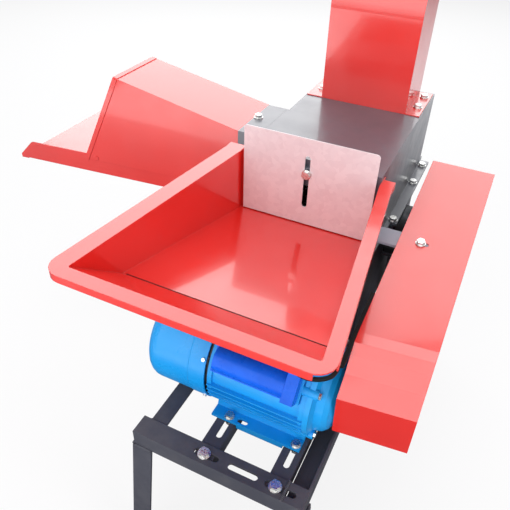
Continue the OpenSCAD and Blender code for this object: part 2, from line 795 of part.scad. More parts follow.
// belt drive
module pulley(r, bore) {
  rim = r + belt_out + 1;
  low = r - groove_depth;
  top_half = belt_top_half + belt_clear + 0.275;
  low_half = belt_low_half + belt_clear - 0.275;
  mid = (pulley_x[1] - pulley_x[0]) / 2;
  difference() {
    rotate_extrude($fn = 96) polygon([
      [bore, 0], [rim, 0], [rim, mid - belt_gap / 2 - top_half],
      [low, mid - belt_gap / 2 - low_half], [low, mid - belt_gap / 2 + low_half],
      [rim, mid - belt_gap / 2 + top_half], [rim, mid + belt_gap / 2 - top_half],
      [low, mid + belt_gap / 2 - low_half], [low, mid + belt_gap / 2 + low_half],
      [rim, mid + belt_gap / 2 + top_half], [rim, 2 * mid], [bore, 2 * mid]
    ]);
    // dished outer face
    up(2 * mid - 6) difference() {
      cylinder(r = rim - 12, h = 7);
      up(-1) cylinder(r = bore + 7, h = 9);
    }
  }
}
module motor_pulley() {
  color("#3c3e42")
  at_motor() up(pulley_x[0]) pulley(pulley_r, shaft_end_r);
}
module rotor_pulley() {
  color("#3c3e42")
  at_rotor() up(pulley_x[0]) pulley(pulley_r, pulley_bore_r);
}
belt_run = [rotor_y - motor_y, rotor_z - motor_z];
belt_dir = atan2(belt_run[1], belt_run[0]);
belt_section = [
  [pulley_r - belt_in, -belt_low_half], [pulley_r + belt_out, -belt_top_half],
  [pulley_r + belt_out, belt_top_half], [pulley_r - belt_in, belt_low_half]
];
// two mirrored halves, each a half turn on one pulley with one of the straight runs
module belt() {
  for (half = [0, 180]) at_motor() rotate([0, 0, belt_dir])
    translate([half / 180 * norm(belt_run), 0, 0]) rotate([0, 0, half + 90]) {
      rotate_extrude(angle = 180, $fn = 96) polygon(belt_section);
      rotate([90, 0, 0]) linear_extrude(norm(belt_run)) polygon(belt_section);
    }
}
module v_belts() {
  color("#1c1c1e")
  for (s = [-1, 1]) translate([belt_x + s * belt_gap / 2, 0, 0]) belt();
}
function line_z(a, b, y) = a[1] + (b[1] - a[1]) * (y - a[0]) / (b[0] - a[0]);
function guard_z(y) = line_z(guard_top[0], guard_top[1], y);
function low_z(y) = line_z(guard_low[0], guard_low[1], y);
function plumb(t, slope) = t / cos(slope);
// the guard's form, moved inwards by t: a straight run that the skewed nose cuts off in front
module guard_form(t) {
  ahead = motor_y - 150;
  run = concat(
    [[ahead, low_z(ahead)], guard_low[1]], guard_back, [guard_top[1], [ahead, guard_z(ahead)]]
  );
  intersection() {
    across([guard_in - (t > 0 ? 1 : 0), guard_x[1] - t]) polygon(inset(run, t));
    translate([guard_in, motor_y, motor_z])
      rotate([guard_slope, 0, 0]) rotate([0, 0, nose_skew]) rotate([-guard_slope, 0, 0])
        across([-frame_w, frame_w]) polygon(inset(guard_nose, t));
  }
}
// carries a shape to the guard's upper bolt, then to its lower bolt
module at_bracket_bolt() {
  translate([bracket_bolt[0], bracket_bolt[1], guard_z(bracket_bolt[1])])
    rotate([guard_slope, 0, 0]) children();
}
module at_stay_bolt(up = 0) {
  translate([stay_bolt_x, stay_mid, low_z(stay_mid) + up]) rotate([low_slope, 0, 0]) children();
}
module belt_guard() {
  color("#e8403c")
  difference() {
    guard_form(0);
    guard_form(sheet_t);
    at_bracket_bolt() slot_x([-6, 14], 0, [-12, 12], m8_hole);
    at_stay_bolt() post(0, 0, [-12, 12], m8_hole);
  }
}
module guard_brackets() {
  strip = plumb(sheet_t, guard_slope);
  thick = plumb(bracket_t, guard_slope);
  stay_t = plumb(rail_t, low_slope);
  y0 = bracket_y[0];
  y1 = bracket_y[1];
  color("#8f9096")
  difference() {
    union() {
      // upper bracket: a flat bar under the guard's top, and its pad on the casing
      across([case_right, 210]) polygon([
        [y0, guard_z(y0) - strip - thick], [y1, guard_z(y1) - strip - thick],
        [y1, guard_z(y1) - strip], [y0, guard_z(y0) - strip]
      ]);
      block([case_right, case_right + case_t], bracket_y, [split_z + case_t + 1, guard_z(y0) - strip - 1]);
      // lower stay: a bar on the right rail that turns out under the guard
      block([right_leg_in - rail_t, right_leg_in], stay_y, [rail_low + rail_t + 4, low_z(stay_y[0]) - 1]);
      across([right_leg_in - rail_t, stay_bolt_x + 16]) polygon([
        [stay_y[0], low_z(stay_y[0]) - stay_t], [stay_y[1], low_z(stay_y[1]) - stay_t],
        [stay_y[1], low_z(stay_y[1])], [stay_y[0], low_z(stay_y[0])]
      ]);
    }
    at_bracket_bolt() post(0, 0, [-20, 5], m8_hole);
    at_stay_bolt() post(0, 0, [-12, 5], m8_hole);
    bar_x([right_leg_in - rail_t - 1, right_leg_in + 1], stay_mid, rail_bolt_z, m8_hole);
  }
}
module guard_bolts() {
  color("#c9cbd0") {
    at_bracket_bolt() bolt(m8, sheet_t + bracket_t);
    at_stay_bolt(plumb(sheet_t, low_slope)) bolt(m8, sheet_t + rail_t);
    translate([half_w, stay_mid, rail_bolt_z]) rotate([0, 90, 0]) bolt(m8, 2 * rail_t);
  }
}

// casing
side_bolt_y = [collar_y[1] - 46, case_back - 110, case_back - 25];
narrow_lip = 8;
edge_round = 8;
left_bolt_y = [side_bolt_y[1], side_bolt_y[2]];
end_bolt_x = [case_x - 80, case_x + 80];
module split_bolt_holes(z) {
  for (y = side_bolt_y) post(case_right + lip / 2, y, z, m8_hole);
  for (y = left_bolt_y) post(case_left - lip / 2, y, z, m8_hole);
  for (x = end_bolt_x) {
    post(x, case_front - lip / 2, z, m8_hole);
    post(x, case_back + lip / 2, z, m8_hole);
  }
}
module split_flange(z) {
  block([case_right, case_right + narrow_lip], [case_front, case_back], z);
  block([case_right, case_right + lip], [side_bolt_y[0] - lip / 2, case_back], z);
  block([case_left - lip, case_left], [collar_y[1] + 8, case_back], z);
  block([case_left, case_right], [case_front - lip, case_front], z);
  block([case_left, case_right], [case_back, case_back + lip], z);
}
module half_ring(x, r0, r1) {
  at_rotor() up(x[0]) linear_extrude(x[1] - x[0]) difference() {
    circle(r = r1, $fn = 120);
    circle(r = r0, $fn = 120);
    translate([-r1 - 1, 0]) square([2 * r1 + 2, r1 + 2]);
  }
}
module lower_casing() {
  color("#555862")
  difference() {
    union() {
      block([case_left, in_left], [case_front, case_back], [top, split_z]);
      block([in_right, case_right], [case_front, case_back], [top, split_z]);
      block([case_left, case_right], [case_front, case_front + case_t], [top, split_z]);
      block([case_left, case_right], [case_back - case_t, case_back], [top, split_z]);
      split_flange([split_z - case_t, split_z]);
      for (x = casing_tabs) {
        block(x, [case_front - foot_tab, case_front], [top, top + case_t]);
        block(x, [case_back, case_back + foot_tab], [top, top + case_t]);
      }
      // partition under the shaft, the knife chamber's pan, and ledges for the screen
      difference() {
        block(part_x, [case_front, case_back], [top + case_t, rotor_z]);
        bar_x([part_x[0] - 1, part_x[1] + 1], rotor_y, rotor_z, part_cut_r);
      }
      half_ring([in_left - 1, part_x[0] + 1], screen_r, screen_r + screen_t);
      for (y = [[case_front, case_front + ledge_w], [case_back - ledge_w, case_back]])
        block([part_x[1] - 1, in_right + 1], y, [screen_z - screen_t - case_t, screen_z - screen_t]);
    }
    bar_x([case_left - 1, case_right + 1], rotor_y, rotor_z, shaft_r + bore_clear);
    split_bolt_holes([split_z - case_t - 1, split_z + 1]);
    for (x = casing_tabs) for (y = [case_front - lip, case_back + lip])
      post(mid(x), y, [top - 1, top + case_t + 1], m8_hole);
  }
}
module upper_casing() {
  color("#555862")
  difference() {
    union() {
      difference() {
        block([case_left, case_right], [case_front, case_back], [split_z, case_top]);
        block([in_left, in_right], [case_front + case_t, case_back - case_t],
          [split_z - 1, case_top - case_t]);
      }
      split_flange([split_z, split_z + case_t]);
      // gate guides and the boss that the gate bolt clamps against
      for (s = [-1, 1])
        block([hopper_x + s * guide_x - 6, hopper_x + s * guide_x + 6], [gate_y[1], case_front],
          [gate_z[0], rim_z]);
      bar_y(slot_x, [gate_y[1], case_front], gate_bolt_z, 11);
    }
    // grain opening behind the gate
    block([hopper_x - guide_x + 8, hopper_x + guide_x - 8], [case_front - 1, case_front + case_t + 1],
      [gate_z[0] + 2, gate_z[0] + 2 + feed_hole_h]);
    // grass inlet inside the collar
    block([case_left - 1, in_left + 1], [collar_y[0] + case_t, collar_y[1] - case_t],
      [inlet_z + 5, case_top - case_t]);
    // outlet under the chute
    block([chute_x[0] + sheet_t, chute_x[1] - sheet_t], [chute_y[0] + sheet_t, chute_y[1] - sheet_t - 2],
      [case_top - case_t - 1, case_top + 1]);
    split_bolt_holes([split_z - 1, split_z + case_t + 1]);
    bar_y(slot_x, [gate_y[1] - 1, case_front + case_t + 1], gate_bolt_z, gate_bolt_r + bolt_gap);
    for (z = tail_bolt_z) {
      bar_x([in_right - 1, case_right + 1], tail_bolt_y, z, m8_hole);
      bar_x([case_left - 1, in_left + 1], tail_bolt_y, z, m8_hole);
    }
    for (x = chute_bolt_x, y = chute_bolt_y)
      post(x, y, [case_top - case_t - 1, case_top + 1], m8_hole);
    // bend of the top into the left side, on both sides of the inlet collar
    for (y = [[case_front - 1, collar_y[0]], [collar_y[1], case_back + 1]]) difference() {
      block([case_left - 1, case_left + edge_round], y, [case_top - edge_round, case_top + 1]);
      bar_y(case_left + edge_round, [y[0] - 1, y[1] + 1], case_top - edge_round, edge_round);
    }
  }
}
// bolts of the casing's joint, its foot tabs and the chute
module casing_bolts() {
  color("#c9cbd0") {
    for (y = side_bolt_y)
      translate([case_right + lip / 2, y, split_z + case_t]) bolt(m8, 2 * case_t);
    for (y = left_bolt_y)
      translate([case_left - lip / 2, y, split_z + case_t]) bolt(m8, 2 * case_t);
    for (x = end_bolt_x, y = [case_front - lip / 2, case_back + lip / 2])
      translate([x, y, split_z + case_t]) bolt(m8, 2 * case_t);
    for (x = casing_tabs, y = [case_front - lip, case_back + lip])
      translate([mid(x), y, top + case_t]) bolt(m8, case_t + rail_t);
    for (x = chute_bolt_x, y = chute_bolt_y)
      translate([x, y, case_top + sheet_t]) bolt(m8, case_t + sheet_t);
  }
}

// inlet side
module inlet_collar() {
  color("#555862")
  difference() {
    union() {
      block([collar_x, case_left], collar_y, [case_top - case_t, case_top]);
      block([collar_x, case_left], [collar_y[0], collar_y[0] + case_t], [inlet_z - sheet_t, case_top]);
      block([collar_x, case_left], [collar_y[1] - case_t, collar_y[1]], [inlet_z - sheet_t, case_top]);
    }
    slot_x([collar_bolt[0] - 16, collar_bolt[0] + 6], collar_bolt[1],
      [case_top - case_t - 1, case_top + 1], m8_hole);
    bar_y(wall_bolt[0], [collar_y[0] - 1, collar_y[0] + case_t + 1], wall_bolt[1], m8_hole);
  }
}
function tray_z(x) = x > collar_x ? inlet_z : inlet_z + tray_fall * (x - collar_x) / tray_l;
tray_corner = [tray_end + 42, tray_z(tray_end + 42) + tray_wall];
tray_tip = [tray_end, tray_z(tray_end)];
rivet_z = [for (x = rivet_x) tray_z(x) + tray_wall - hood_lap / 2];
module feed_tray() {
  inner_back = collar_y[1] - case_t;
  out_y = tray_y + tray_out_w;
  under_tip = tray_tip - [0, sheet_t];
  strip_x = [tray_end + 48, collar_x - 4];
  color("#dc3c34")
  difference() {
    union() {
      // floor with the hem folded under its outer edge
      intersection() {
        union() {
          along([tray_y, out_y])
            polygon([tray_tip, under_tip, [collar_x, inlet_z - sheet_t], [collar_x, inlet_z]]);
          along([tray_y, out_y]) polygon([
            under_tip + [0, 0.1], under_tip - [0, sheet_t],
            [tray_end + hem_w, tray_z(tray_end + hem_w) - 2 * sheet_t],
            [tray_end + hem_w, tray_z(tray_end + hem_w) - sheet_t + 0.1]
          ]);
        }
        linear_extrude(2 * inlet_z)
          polygon([[collar_x, tray_y], [collar_x, inner_back], [tray_end, out_y], [tray_end, tray_y]]);
      }
      block([collar_x, case_left], [tray_y, inner_back], [inlet_z - sheet_t, inlet_z]);
      // near wall with its outer corner cut away
      along([tray_y, tray_y + sheet_t]) polygon(concat(
        [under_tip, [collar_x, inlet_z - sheet_t], [case_left - 14, inlet_z - sheet_t],
        [case_left - 14, inlet_z + tray_wall], [collar_x, inlet_z + tray_wall]],
        rounded([collar_x, inlet_z + tray_wall], tray_corner, tray_tip + [0, 5], 14),
        [tray_tip + [0, 5]]
      ));
      // far wall that follows the flare, and the strip turned out along its top
      intersection() {
        along([tray_y, out_y + 10]) polygon([
          under_tip, [collar_x, inlet_z - sheet_t], [collar_x, inlet_z + tray_wall],
          tray_corner, tray_tip + [0, 5]
        ]);
        linear_extrude(2 * inlet_z) polygon([
          [collar_x, inner_back - sheet_t], [collar_x, inner_back],
          [tray_end, out_y], [tray_end, out_y - sheet_t]
        ]);
      }
      intersection() {
        along([tray_y, out_y + 2 * tray_rim]) polygon([
          [strip_x[1], tray_z(strip_x[1]) + tray_wall + 1.4],
          [strip_x[0], tray_z(strip_x[0]) + tray_wall + 1.4],
          [strip_x[0], tray_z(strip_x[0]) + tray_wall - 0.6],
          [strip_x[1], tray_z(strip_x[1]) + tray_wall - 0.6]
        ]);
        linear_extrude(2 * inlet_z) polygon([
          [collar_x, inner_back - 1], [collar_x, inner_back + tray_rim],
          [tray_end, out_y + tray_rim], [tray_end, out_y - 1]
        ]);
      }
    }
    bar_y(wall_bolt[0], [tray_y - 1, tray_y + sheet_t + 1], wall_bolt[1], m8_hole);
    for (i = [0, 1]) bar_y(rivet_x[i], [tray_y - 1, tray_y + sheet_t + 1], rivet_z[i], rivet_r);
  }
}
// hood: top plate, near wall outside the tray, far wall standing in the tray, and hemmed edges
module feed_hood() {
  crest = hood_tip + [0, sheet_t];
  back = hood_top + [0, sheet_t];
  in = hood_hem * unit([crest[1] - hood_toe[1], hood_toe[0] - crest[0]]);
  run = hood_hem * unit(back - crest);
  far_y = [collar_y[1], collar_y[1] + sheet_t];
  color("#e04a44")
  difference() {
    union() {
      along(hood_y) polygon([hood_top, hood_tip, crest, back]);
      // tongue under the collar's top
      block([collar_x - 1, collar_x + 35], tongue_y, [case_top - case_t - sheet_t, case_top - case_t]);
      along(tongue_y) polygon([
        hood_top + [0, -sheet_t], hood_top + [-6, 1.1 - sheet_t], hood_top + [-6, 1.1], hood_top
      ]);
      along([hood_y[0], hood_y[0] + sheet_t]) polygon([
        back, crest, hood_toe,
        [hood_toe[0], tray_z(hood_toe[0]) + tray_wall - hood_lap],
        [collar_x, inlet_z + tray_wall - hood_lap]
      ]);
      along(far_y) polygon([
        back, crest, hood_toe,
        [hood_toe[0], tray_z(hood_toe[0])], [collar_x - 30, tray_z(collar_x - 30)],
        [collar_x - 30, inlet_z + tray_wall + 4], [collar_x, inlet_z + tray_wall + 4]
      ]);
      // hems along the mouth
      along([hood_y[0] - hem_t, hood_y[0]]) polygon([crest, hood_toe, hood_toe + in, crest + in]);
      along(hood_y) polygon([crest, crest + run, crest + run + [0, hem_t], crest + [0, hem_t]]);
    }
    post(collar_bolt[0], collar_bolt[1], [case_top - 12, case_top + 1], m8_hole);
    for (i = [0, 1])
      bar_y(rivet_x[i], [hood_y[0] - 1, hood_y[0] + sheet_t + 1], rivet_z[i], rivet_r);
  }
}
module hood_rivets() {
  color("#d83a34")
  for (i = [0, 1]) {
    bar_y(rivet_x[i], [hood_y[0] - 1, hood_y[0] + 2 * sheet_t + 1], rivet_z[i], rivet_r);
    for (y = [[hood_y[0] - 1.5, hood_y[0]], [hood_y[0] + 2 * sheet_t, hood_y[0] + 2 * sheet_t + 1.5]])
      bar_y(rivet_x[i], y, rivet_z[i], 2 * rivet_r);
  }
}
// bolts of the inlet side and of the hopper's tails, all of one size
module feed_bolts() {
  color("#c9cbd0") {
    translate([collar_bolt[0], collar_bolt[1], case_top]) bolt(m8, case_t + sheet_t);
    translate([wall_bolt[0], collar_y[0], wall_bolt[1]])
      rotate([90, 0, 0]) bolt(m8, case_t + sheet_t);
    for (z = tail_bolt_z) {
      translate([case_right + sheet_t, tail_bolt_y, z])
        rotate([0, 90, 0]) bolt(m8, case_t + sheet_t);
      translate([hopper_in[0] - sheet_t, tail_bolt_y, z])
        rotate([0, -90, 0]) bolt(m8, case_t + sheet_t + tail_spacer);
    }
  }
}

// hopper
function hopper_half_at(y) =
  inner_half + (hopper_half - inner_half) * max(0, gate_y[0] - y) / (gate_y[0] - hopper_front);
function hopper_floor_z(y) = floor_z + floor_rise * (gate_y[0] - y) / (gate_y[0] - floor_bend_y);
// the hopper's plan, grown outwards by out and on the left by more, with front corners of radius r
function hopper_plan(out, r, back, more = 0) =
  let(front = hopper_front - out, wide = hopper_half_at(hopper_front) + out,
    bl = [hopper_in[0] - out - more, gate_y[0]], fl = [hopper_x - wide - more, front],
    fr = [hopper_x + wide, front], br = [hopper_in[1] + out, gate_y[0]])
  concat([[bl[0], back], bl], rounded(bl, fl, fr, r), rounded(fl, fr, br, r), [br, [br[0], back]]);
module hopper_profile(t) {
  points = [
    [tail_back, hopper_floor_z(tail_back)], [tail_back, rim_z + 200],
    [hopper_front - 250, rim_z + 200],
    [hopper_front, rim_z], [floor_bend_y, hopper_floor_z(floor_bend_y)]
  ];
  polygon(inset(points, -t));
}
module hopper() {
  wide = [-2 * frame_w, 2 * frame_w];
  tail_y = [case_front, tail_back + 30];
  color("#e02c22")
  difference() {
    union() {
      // pan with sloping floor and front
      difference() {
        intersection() {
          linear_extrude(rim_z) polygon(hopper_plan(sheet_t, 4, tail_back));
          across(wide) hopper_profile(sheet_t);
        }
        intersection() {
          linear_extrude(rim_z + 1) polygon(hopper_plan(0, 3, tail_back + 1));
          across(wide) hopper_profile(0);
        }
        // the floor stops at the casing, and the walls go on beside it as tails
        block(wide, tail_y, [0, tail_z[0]]);
        block(wide, tail_y, [tail_z[1], rim_z - 40]);
        block([case_left, case_right], tail_y, [0, rim_z + 1]);
      }
      block([hopper_in[0] - 1, case_left], [case_front, tail_back], tail_z);
      // flange that closes the left wall against the casing's front
      block([hopper_in[0] - 1, case_left + 5], [case_front - sheet_t, case_front],
        [hopper_floor_z(case_front), rim_z - sheet_t / 2]);
      // rim and its turned-down edge
      difference() {
        up(rim_z - rim_drop)
          linear_extrude(rim_drop) polygon(hopper_plan(rim_w, 26, rim_back, left_rim));
        up(rim_z - rim_drop - 1) linear_extrude(rim_drop - sheet_t + 1)
          polygon(hopper_plan(rim_w - sheet_t, 24, rim_back + 1, left_rim));
        up(rim_z - rim_drop - 1)
          linear_extrude(rim_drop + 2) polygon(hopper_plan(0, 3, rim_back + 1));
        block([lip_end, wide[1]], [hopper_front - rim_w - 1, hopper_front + corner_free],
          [rim_z - rim_drop - 1, rim_z - sheet_t]);
      }
    }
    for (z = tail_bolt_z) {
      bar_x([case_right - 1, case_right + sheet_t + 1], tail_bolt_y, z, m8_hole);
      bar_x([hopper_in[0] - sheet_t - 1, case_left + 1], tail_bolt_y, z, m8_hole);
    }
  }
}
module feed_gate() {
  gx = [hopper_x - gate_w / 2, hopper_x + gate_w / 2];
  slot_half = gate_bolt_r + 0.8;
  color("#b9a9ac")
  difference() {
    along(gate_y) polygon(concat(
      [[gx[0], gate_z[0]], [gx[1], gate_z[0]]],
      rounded([gx[1], gate_z[0]], [gx[1], gate_z[1]], [gx[0], gate_z[1]], gate_round),
      rounded([gx[1], gate_z[1]], [gx[0], gate_z[1]], [gx[0], gate_z[0]], gate_round)
    ));
    block([slot_x - slot_half, slot_x + slot_half], [gate_y[0] - 1, gate_y[1] + 1],
      [slot_top - slot_l + slot_half, slot_top - slot_half]);
    for (z = [slot_top - slot_l + slot_half, slot_top - slot_half])
      bar_y(slot_x, [gate_y[0] - 1, gate_y[1] + 1], z, slot_half);
  }
}
module gate_bolt() {
  color("#c9cbd0")
  translate([slot_x, gate_y[0], gate_bolt_z])
    rotate([90, 0, 0]) bolt(gate_bolt_r, gate_t + (case_front - gate_y[1]) + case_t);
}

// chute
module chute() {
  color("#dd3d3a")
  difference() {
    union() {
      difference() {
        block(chute_x, chute_y, [case_top, bend_z]);
        block([chute_x[0] + sheet_t, chute_x[1] - sheet_t], [chute_y[0] + sheet_t, chute_y[1] - sheet_t],
          [case_top - 1, bend_z + 1]);
      }
      for (x = [[chute_x[0] - chute_flange[0], chute_x[0]], [chute_x[1], chute_x[1] + chute_flange[1]]])
        block(x, chute_y, [case_top, case_top + sheet_t]);
      // bend
      translate([chute_x[0], 0, 0]) about_x(bend_y, bend_z) mirror([1, 0, 0])
        rotate_extrude(angle = 180 - bend_end, $fn = 96) difference() {
          translate([chute_bend, 0]) square([chute_d, chute_w]);
          translate([chute_bend + sheet_t, sheet_t])
            square([chute_d - 2 * sheet_t, chute_w - 2 * sheet_t]);
        }
    }
    for (x = chute_bolt_x, y = chute_bolt_y)
      post(x, y, [case_top - 1, case_top + sheet_t + 1], m8_hole);
    about_x(bend_y, bend_z) rotate([0, 0, flap_turn])
      translate([bend_r - flap_pin_in, 0, chute_x[0] - 1])
        cylinder(r = flap_pin_r, h = chute_w + 2);
  }
}
// frame of the flap: X along the mouth's direction, Y outwards, origin on the pin
module at_flap() {
  about_x(bend_y, bend_z) rotate([0, 0, flap_turn])
    translate([bend_r - flap_pin_in, 0, 0]) rotate([0, 0, -90]) children();
}
module chute_flap() {
  cheeks = [chute_x[0] - flap_clear - sheet_t, chute_x[1] + flap_clear];
  color("#dd3d3a")
  at_flap() difference() {
    union() {
      for (x = cheeks) up(x) linear_extrude(sheet_t) polygon([
        [-12, -10], [-12, flap_plate_off], [flap_l, flap_plate_off],
        [flap_l, -34], [22, -62]
      ]);
      translate([14, flap_plate_off - sheet_t, cheeks[0]])
        cube([flap_l - 14, sheet_t, cheeks[1] - cheeks[0] + sheet_t]);
    }
    up(cheeks[0] - 1)
      cylinder(r = flap_pin_r + fit_gap, h = cheeks[1] - cheeks[0] + sheet_t + 2);
  }
}
module flap_pin() {
  reach = flap_clear + sheet_t + flap_clear;
  color("#c9cbd0")
  at_flap() {
    up(chute_x[0] - reach) cylinder(r = flap_pin_r, h = chute_w + 2 * reach);
    for (x = [chute_x[0] - reach - 5, chute_x[1] + reach])
      up(x) cylinder(r = flap_pin_r * head_wide, h = 5, $fn = 6);
  }
}

// rotor
module rotor_shaft() {
  color("#b4b6ba")
  at_rotor() {
    up(shaft_x[0]) cylinder(r = shaft_r, h = step_x - shaft_x[0]);
    up(step_x - 1) cylinder(r = pulley_bore_r, h = shaft_x[1] - step_x + 1);
    // spacer sleeves between the plates
    for (x = [[disc_x[1] + 12, plate_x[0]], [plate_x[0] + plate_t, plate_x[1]],
        [plate_x[1] + plate_t, plate_x[2]]])
      up(x[0]) cylinder(r = hub_r, h = x[1] - x[0]);
  }
}
knife_angles = [60, 240];
knife_bolt_r = [75, 125];
module knife_disc() {
  color("#8c8e93")
  at_rotor() difference() {
    union() {
      up(disc_x[0]) cylinder(r = disc_r, h = disc_x[1] - disc_x[0], $fn = 96);
      up(disc_x[1]) cylinder(r = hub_r + 12, h = 12);
      // throwing paddles on the disc's back
      for (a = [15 : 90 : 285]) rotate([0, 0, a])
        translate([60, -2.5, disc_x[1] - 1]) cube([disc_r - 61, 5, part_x[0] - disc_x[1] - 2]);
    }
    up(disc_x[0] - 1) cylinder(r = shaft_r, h = disc_x[1] - disc_x[0] + 14);
    for (a = knife_angles, r = knife_bolt_r) rotate([0, 0, a])
      translate([r, 0, disc_x[0] - 1]) cylinder(r = m8_hole, h = disc_x[1] - disc_x[0] + 2);
  }
}
module knives() {
  color("#d4d6da")
  at_rotor() for (a = knife_angles) rotate([0, 0, a]) difference() {
    up(knife_face) linear_extrude(knife_t)
      polygon([[38, -24], [disc_r - 4, -14], [disc_r - 4, 20], [38, 30]]);
    // bevel along the cutting edge
    translate([38, -26, knife_face]) rotate([0, 0, 4.9]) rotate([0, 90, 0])
      linear_extrude(disc_r) polygon([[1, 0], [-knife_t - 1, 0], [-knife_t - 1, 12]]);
    for (r = knife_bolt_r)
      translate([r, 0, knife_face - 1]) cylinder(r = m8_hole, h = knife_t + 2);
  }
}
// countersunk from the knife's face so that nothing stands out past it
module knife_bolts() {
  color("#a9abb0")
  at_rotor() for (a = knife_angles, r = knife_bolt_r) rotate([0, 0, a])
    translate([r, 0, knife_face + 1]) {
      cylinder(r = m8, h = disc_x[1] - knife_face + 8);
      up(disc_x[1] - knife_face - 1) cylinder(r = m8 * head_wide, h = m8 * nut_high, $fn = 6);
    }
}
module fixed_knife() {
  color("#cfd1d6")
  block([in_left, knife_face - knife_gap], [collar_y[0] + case_t, collar_y[1] - case_t],
    [split_z - 6, inlet_z + 4]);
}
module hammer_plates() {
  color("#7d7f84")
  at_rotor() for (x = plate_x) difference() {
    up(x) cylinder(r = plate_r, h = plate_t, $fn = 96);
    up(x - 1) cylinder(r = shaft_r, h = plate_t + 2);
    for (a = pin_angles)
      rotate([0, 0, a]) translate([pin_ring_r, 0, x - 1]) cylinder(r = pin_r, h = plate_t + 2);
  }
}
// hammers sit at these places along pin number i, in both bays
function hammer_x(i) = [
  for (bay = [0, 1], s = hammer_set)
    plate_x[bay] + plate_t + s + (i % 2 == 0 ? -8 : 8) - hammer_t / 2
];
module hammer_pins() {
  color("#9a9ca1")
  at_rotor() for (a = pin_angles) rotate([0, 0, a]) translate([pin_ring_r, 0, plate_x[0] - 2]) {
    cylinder(r = pin_r, h = plate_x[2] + plate_t - plate_x[0] + 4);
    up(-2) cylinder(r = pin_r + 2, h = 4);
    up(plate_x[2] + plate_t - plate_x[0] + 2) cylinder(r = pin_r + 2, h = 4);
  }
}
module hammers(i) {
  color("#85878c")
  at_rotor() rotate([0, 0, pin_angles[i]]) translate([pin_ring_r, 0, 0])
    rotate([0, 0, -pin_angles[i]]) for (x = hammer_x(i)) up(x) difference() {
      union() {
        cylinder(r = hammer_w / 2 - 4, h = hammer_t);
        translate([-hammer_w / 2, -hammer_reach, 0])
          cube([hammer_w, hammer_reach + 4, hammer_t]);
      }
      up(-1) cylinder(r = pin_r + fit_gap, h = hammer_t + 2);
    }
}
module hammers_a() { hammers(0); }
module hammers_b() { hammers(1); }
module hammers_c() { hammers(2); }
module hammers_d() { hammers(3); }
module screen() {
  color("#9b9da2")
  difference() {
    union() {
      intersection() {
        half_ring([part_x[1], in_right], screen_r, screen_r + screen_t);
        block([part_x[1], in_right], [case_front, case_back], [top, screen_z]);
      }
      for (y = [rotor_y - screen_r - screen_flange, rotor_y + screen_r])
        block([part_x[1], in_right], [y, y + screen_flange], [screen_z - screen_t, screen_z]);
    }
    at_rotor() for (a = [-150 : 15 : -30], k = [0 : 6]) rotate([0, 0, a + (k % 2) * 7.5])
      translate([screen_r - 4, 0, part_x[1] + 18 + k * 23])
        rotate([0, 90, 0]) cylinder(r = screen_hole_r, h = 10, $fn = 16);
  }
}
// meal spout: collar inside the casing's foot, then a funnel that leans in to its mouth
module meal_spout() {
  x = [part_x[1], in_right];
  y = [case_front + case_t, case_back - case_t];
  low = top - 130;
  mouth = top - 90;
  module side_profile(t) {
    polygon([
      [x[0] + t, top + 22], [x[0] + t, top - 4], [x[0] + 30 + t, low - 1], [x[1] - 30 - t, low - 1],
      [x[1] - t, top - 4], [x[1] - t, top + 22]
    ]);
  }
  module end_profile(t) {
    polygon([
      [y[0] + t, top + 22], [y[0] + t, top - 40], [y[0] + 110 + t, low - 1], [y[1] - 110 - t, low - 1],
      [y[1] - t, top - 40], [y[1] - t, top + 22]
    ]);
  }
  color("#dc3c34")
  difference() {
    intersection() {
      along(y) side_profile(0);
      across(x) end_profile(0);
      block(x, y, [low, top + 18]);
    }
    intersection() {
      along(y) side_profile(sheet_t);
      across(x) end_profile(sheet_t);
    }
    // clears the screen above and opens the mouth below
    bar_x([x[0] - 1, x[1] + 1], rotor_y, rotor_z, screen_r + screen_t + 1);
  }
}

// bearings and their stands
module bearing_unit() {
  // shaft axis at the local origin, along local Z
  up(-bearing_w / 2) difference() {
    union() {
      cylinder(r = bearing_r, h = bearing_w);
      translate([-bearing_l / 2, -bearing_h, 0]) cube([bearing_l, 14, bearing_w]);
      translate([-bearing_r + 2, -bearing_h, 0])
        cube([2 * bearing_r - 4, bearing_h - 8, bearing_w]);
    }
    up(-1) cylinder(r = shaft_r + fit_gap, h = bearing_w + 2);
    for (s = [-1, 1]) translate([s * bearing_bolt_l / 2, -bearing_h - 1, bearing_w / 2])
      rotate([-90, 0, 0]) cylinder(r = m10_hole, h = 16);
    // the insert stands a little back from the housing's faces
    for (z = [-1, bearing_w - 3]) up(z) difference() {
      cylinder(r = bearing_r - 6, h = 4);
      up(-1) cylinder(r = shaft_r + 7, h = 6);
    }
  }
}
module bearings() {
  color("#2f3338")
  for (x = bearing_x) at_rotor() up(x) bearing_unit();
}
module bearing_seat(x) {
  difference() {
    block([x - bearing_w / 2, x + bearing_w / 2], [rotor_y - bearing_l / 2 - 3, rotor_y + bearing_l / 2 + 3],
      [seat_z - seat_t, seat_z]);
    for (s = [-1, 1])
      post(x, rotor_y + s * bearing_bolt_l / 2, [seat_z - seat_t - 1, seat_z + 1], m10_hole);
  }
}
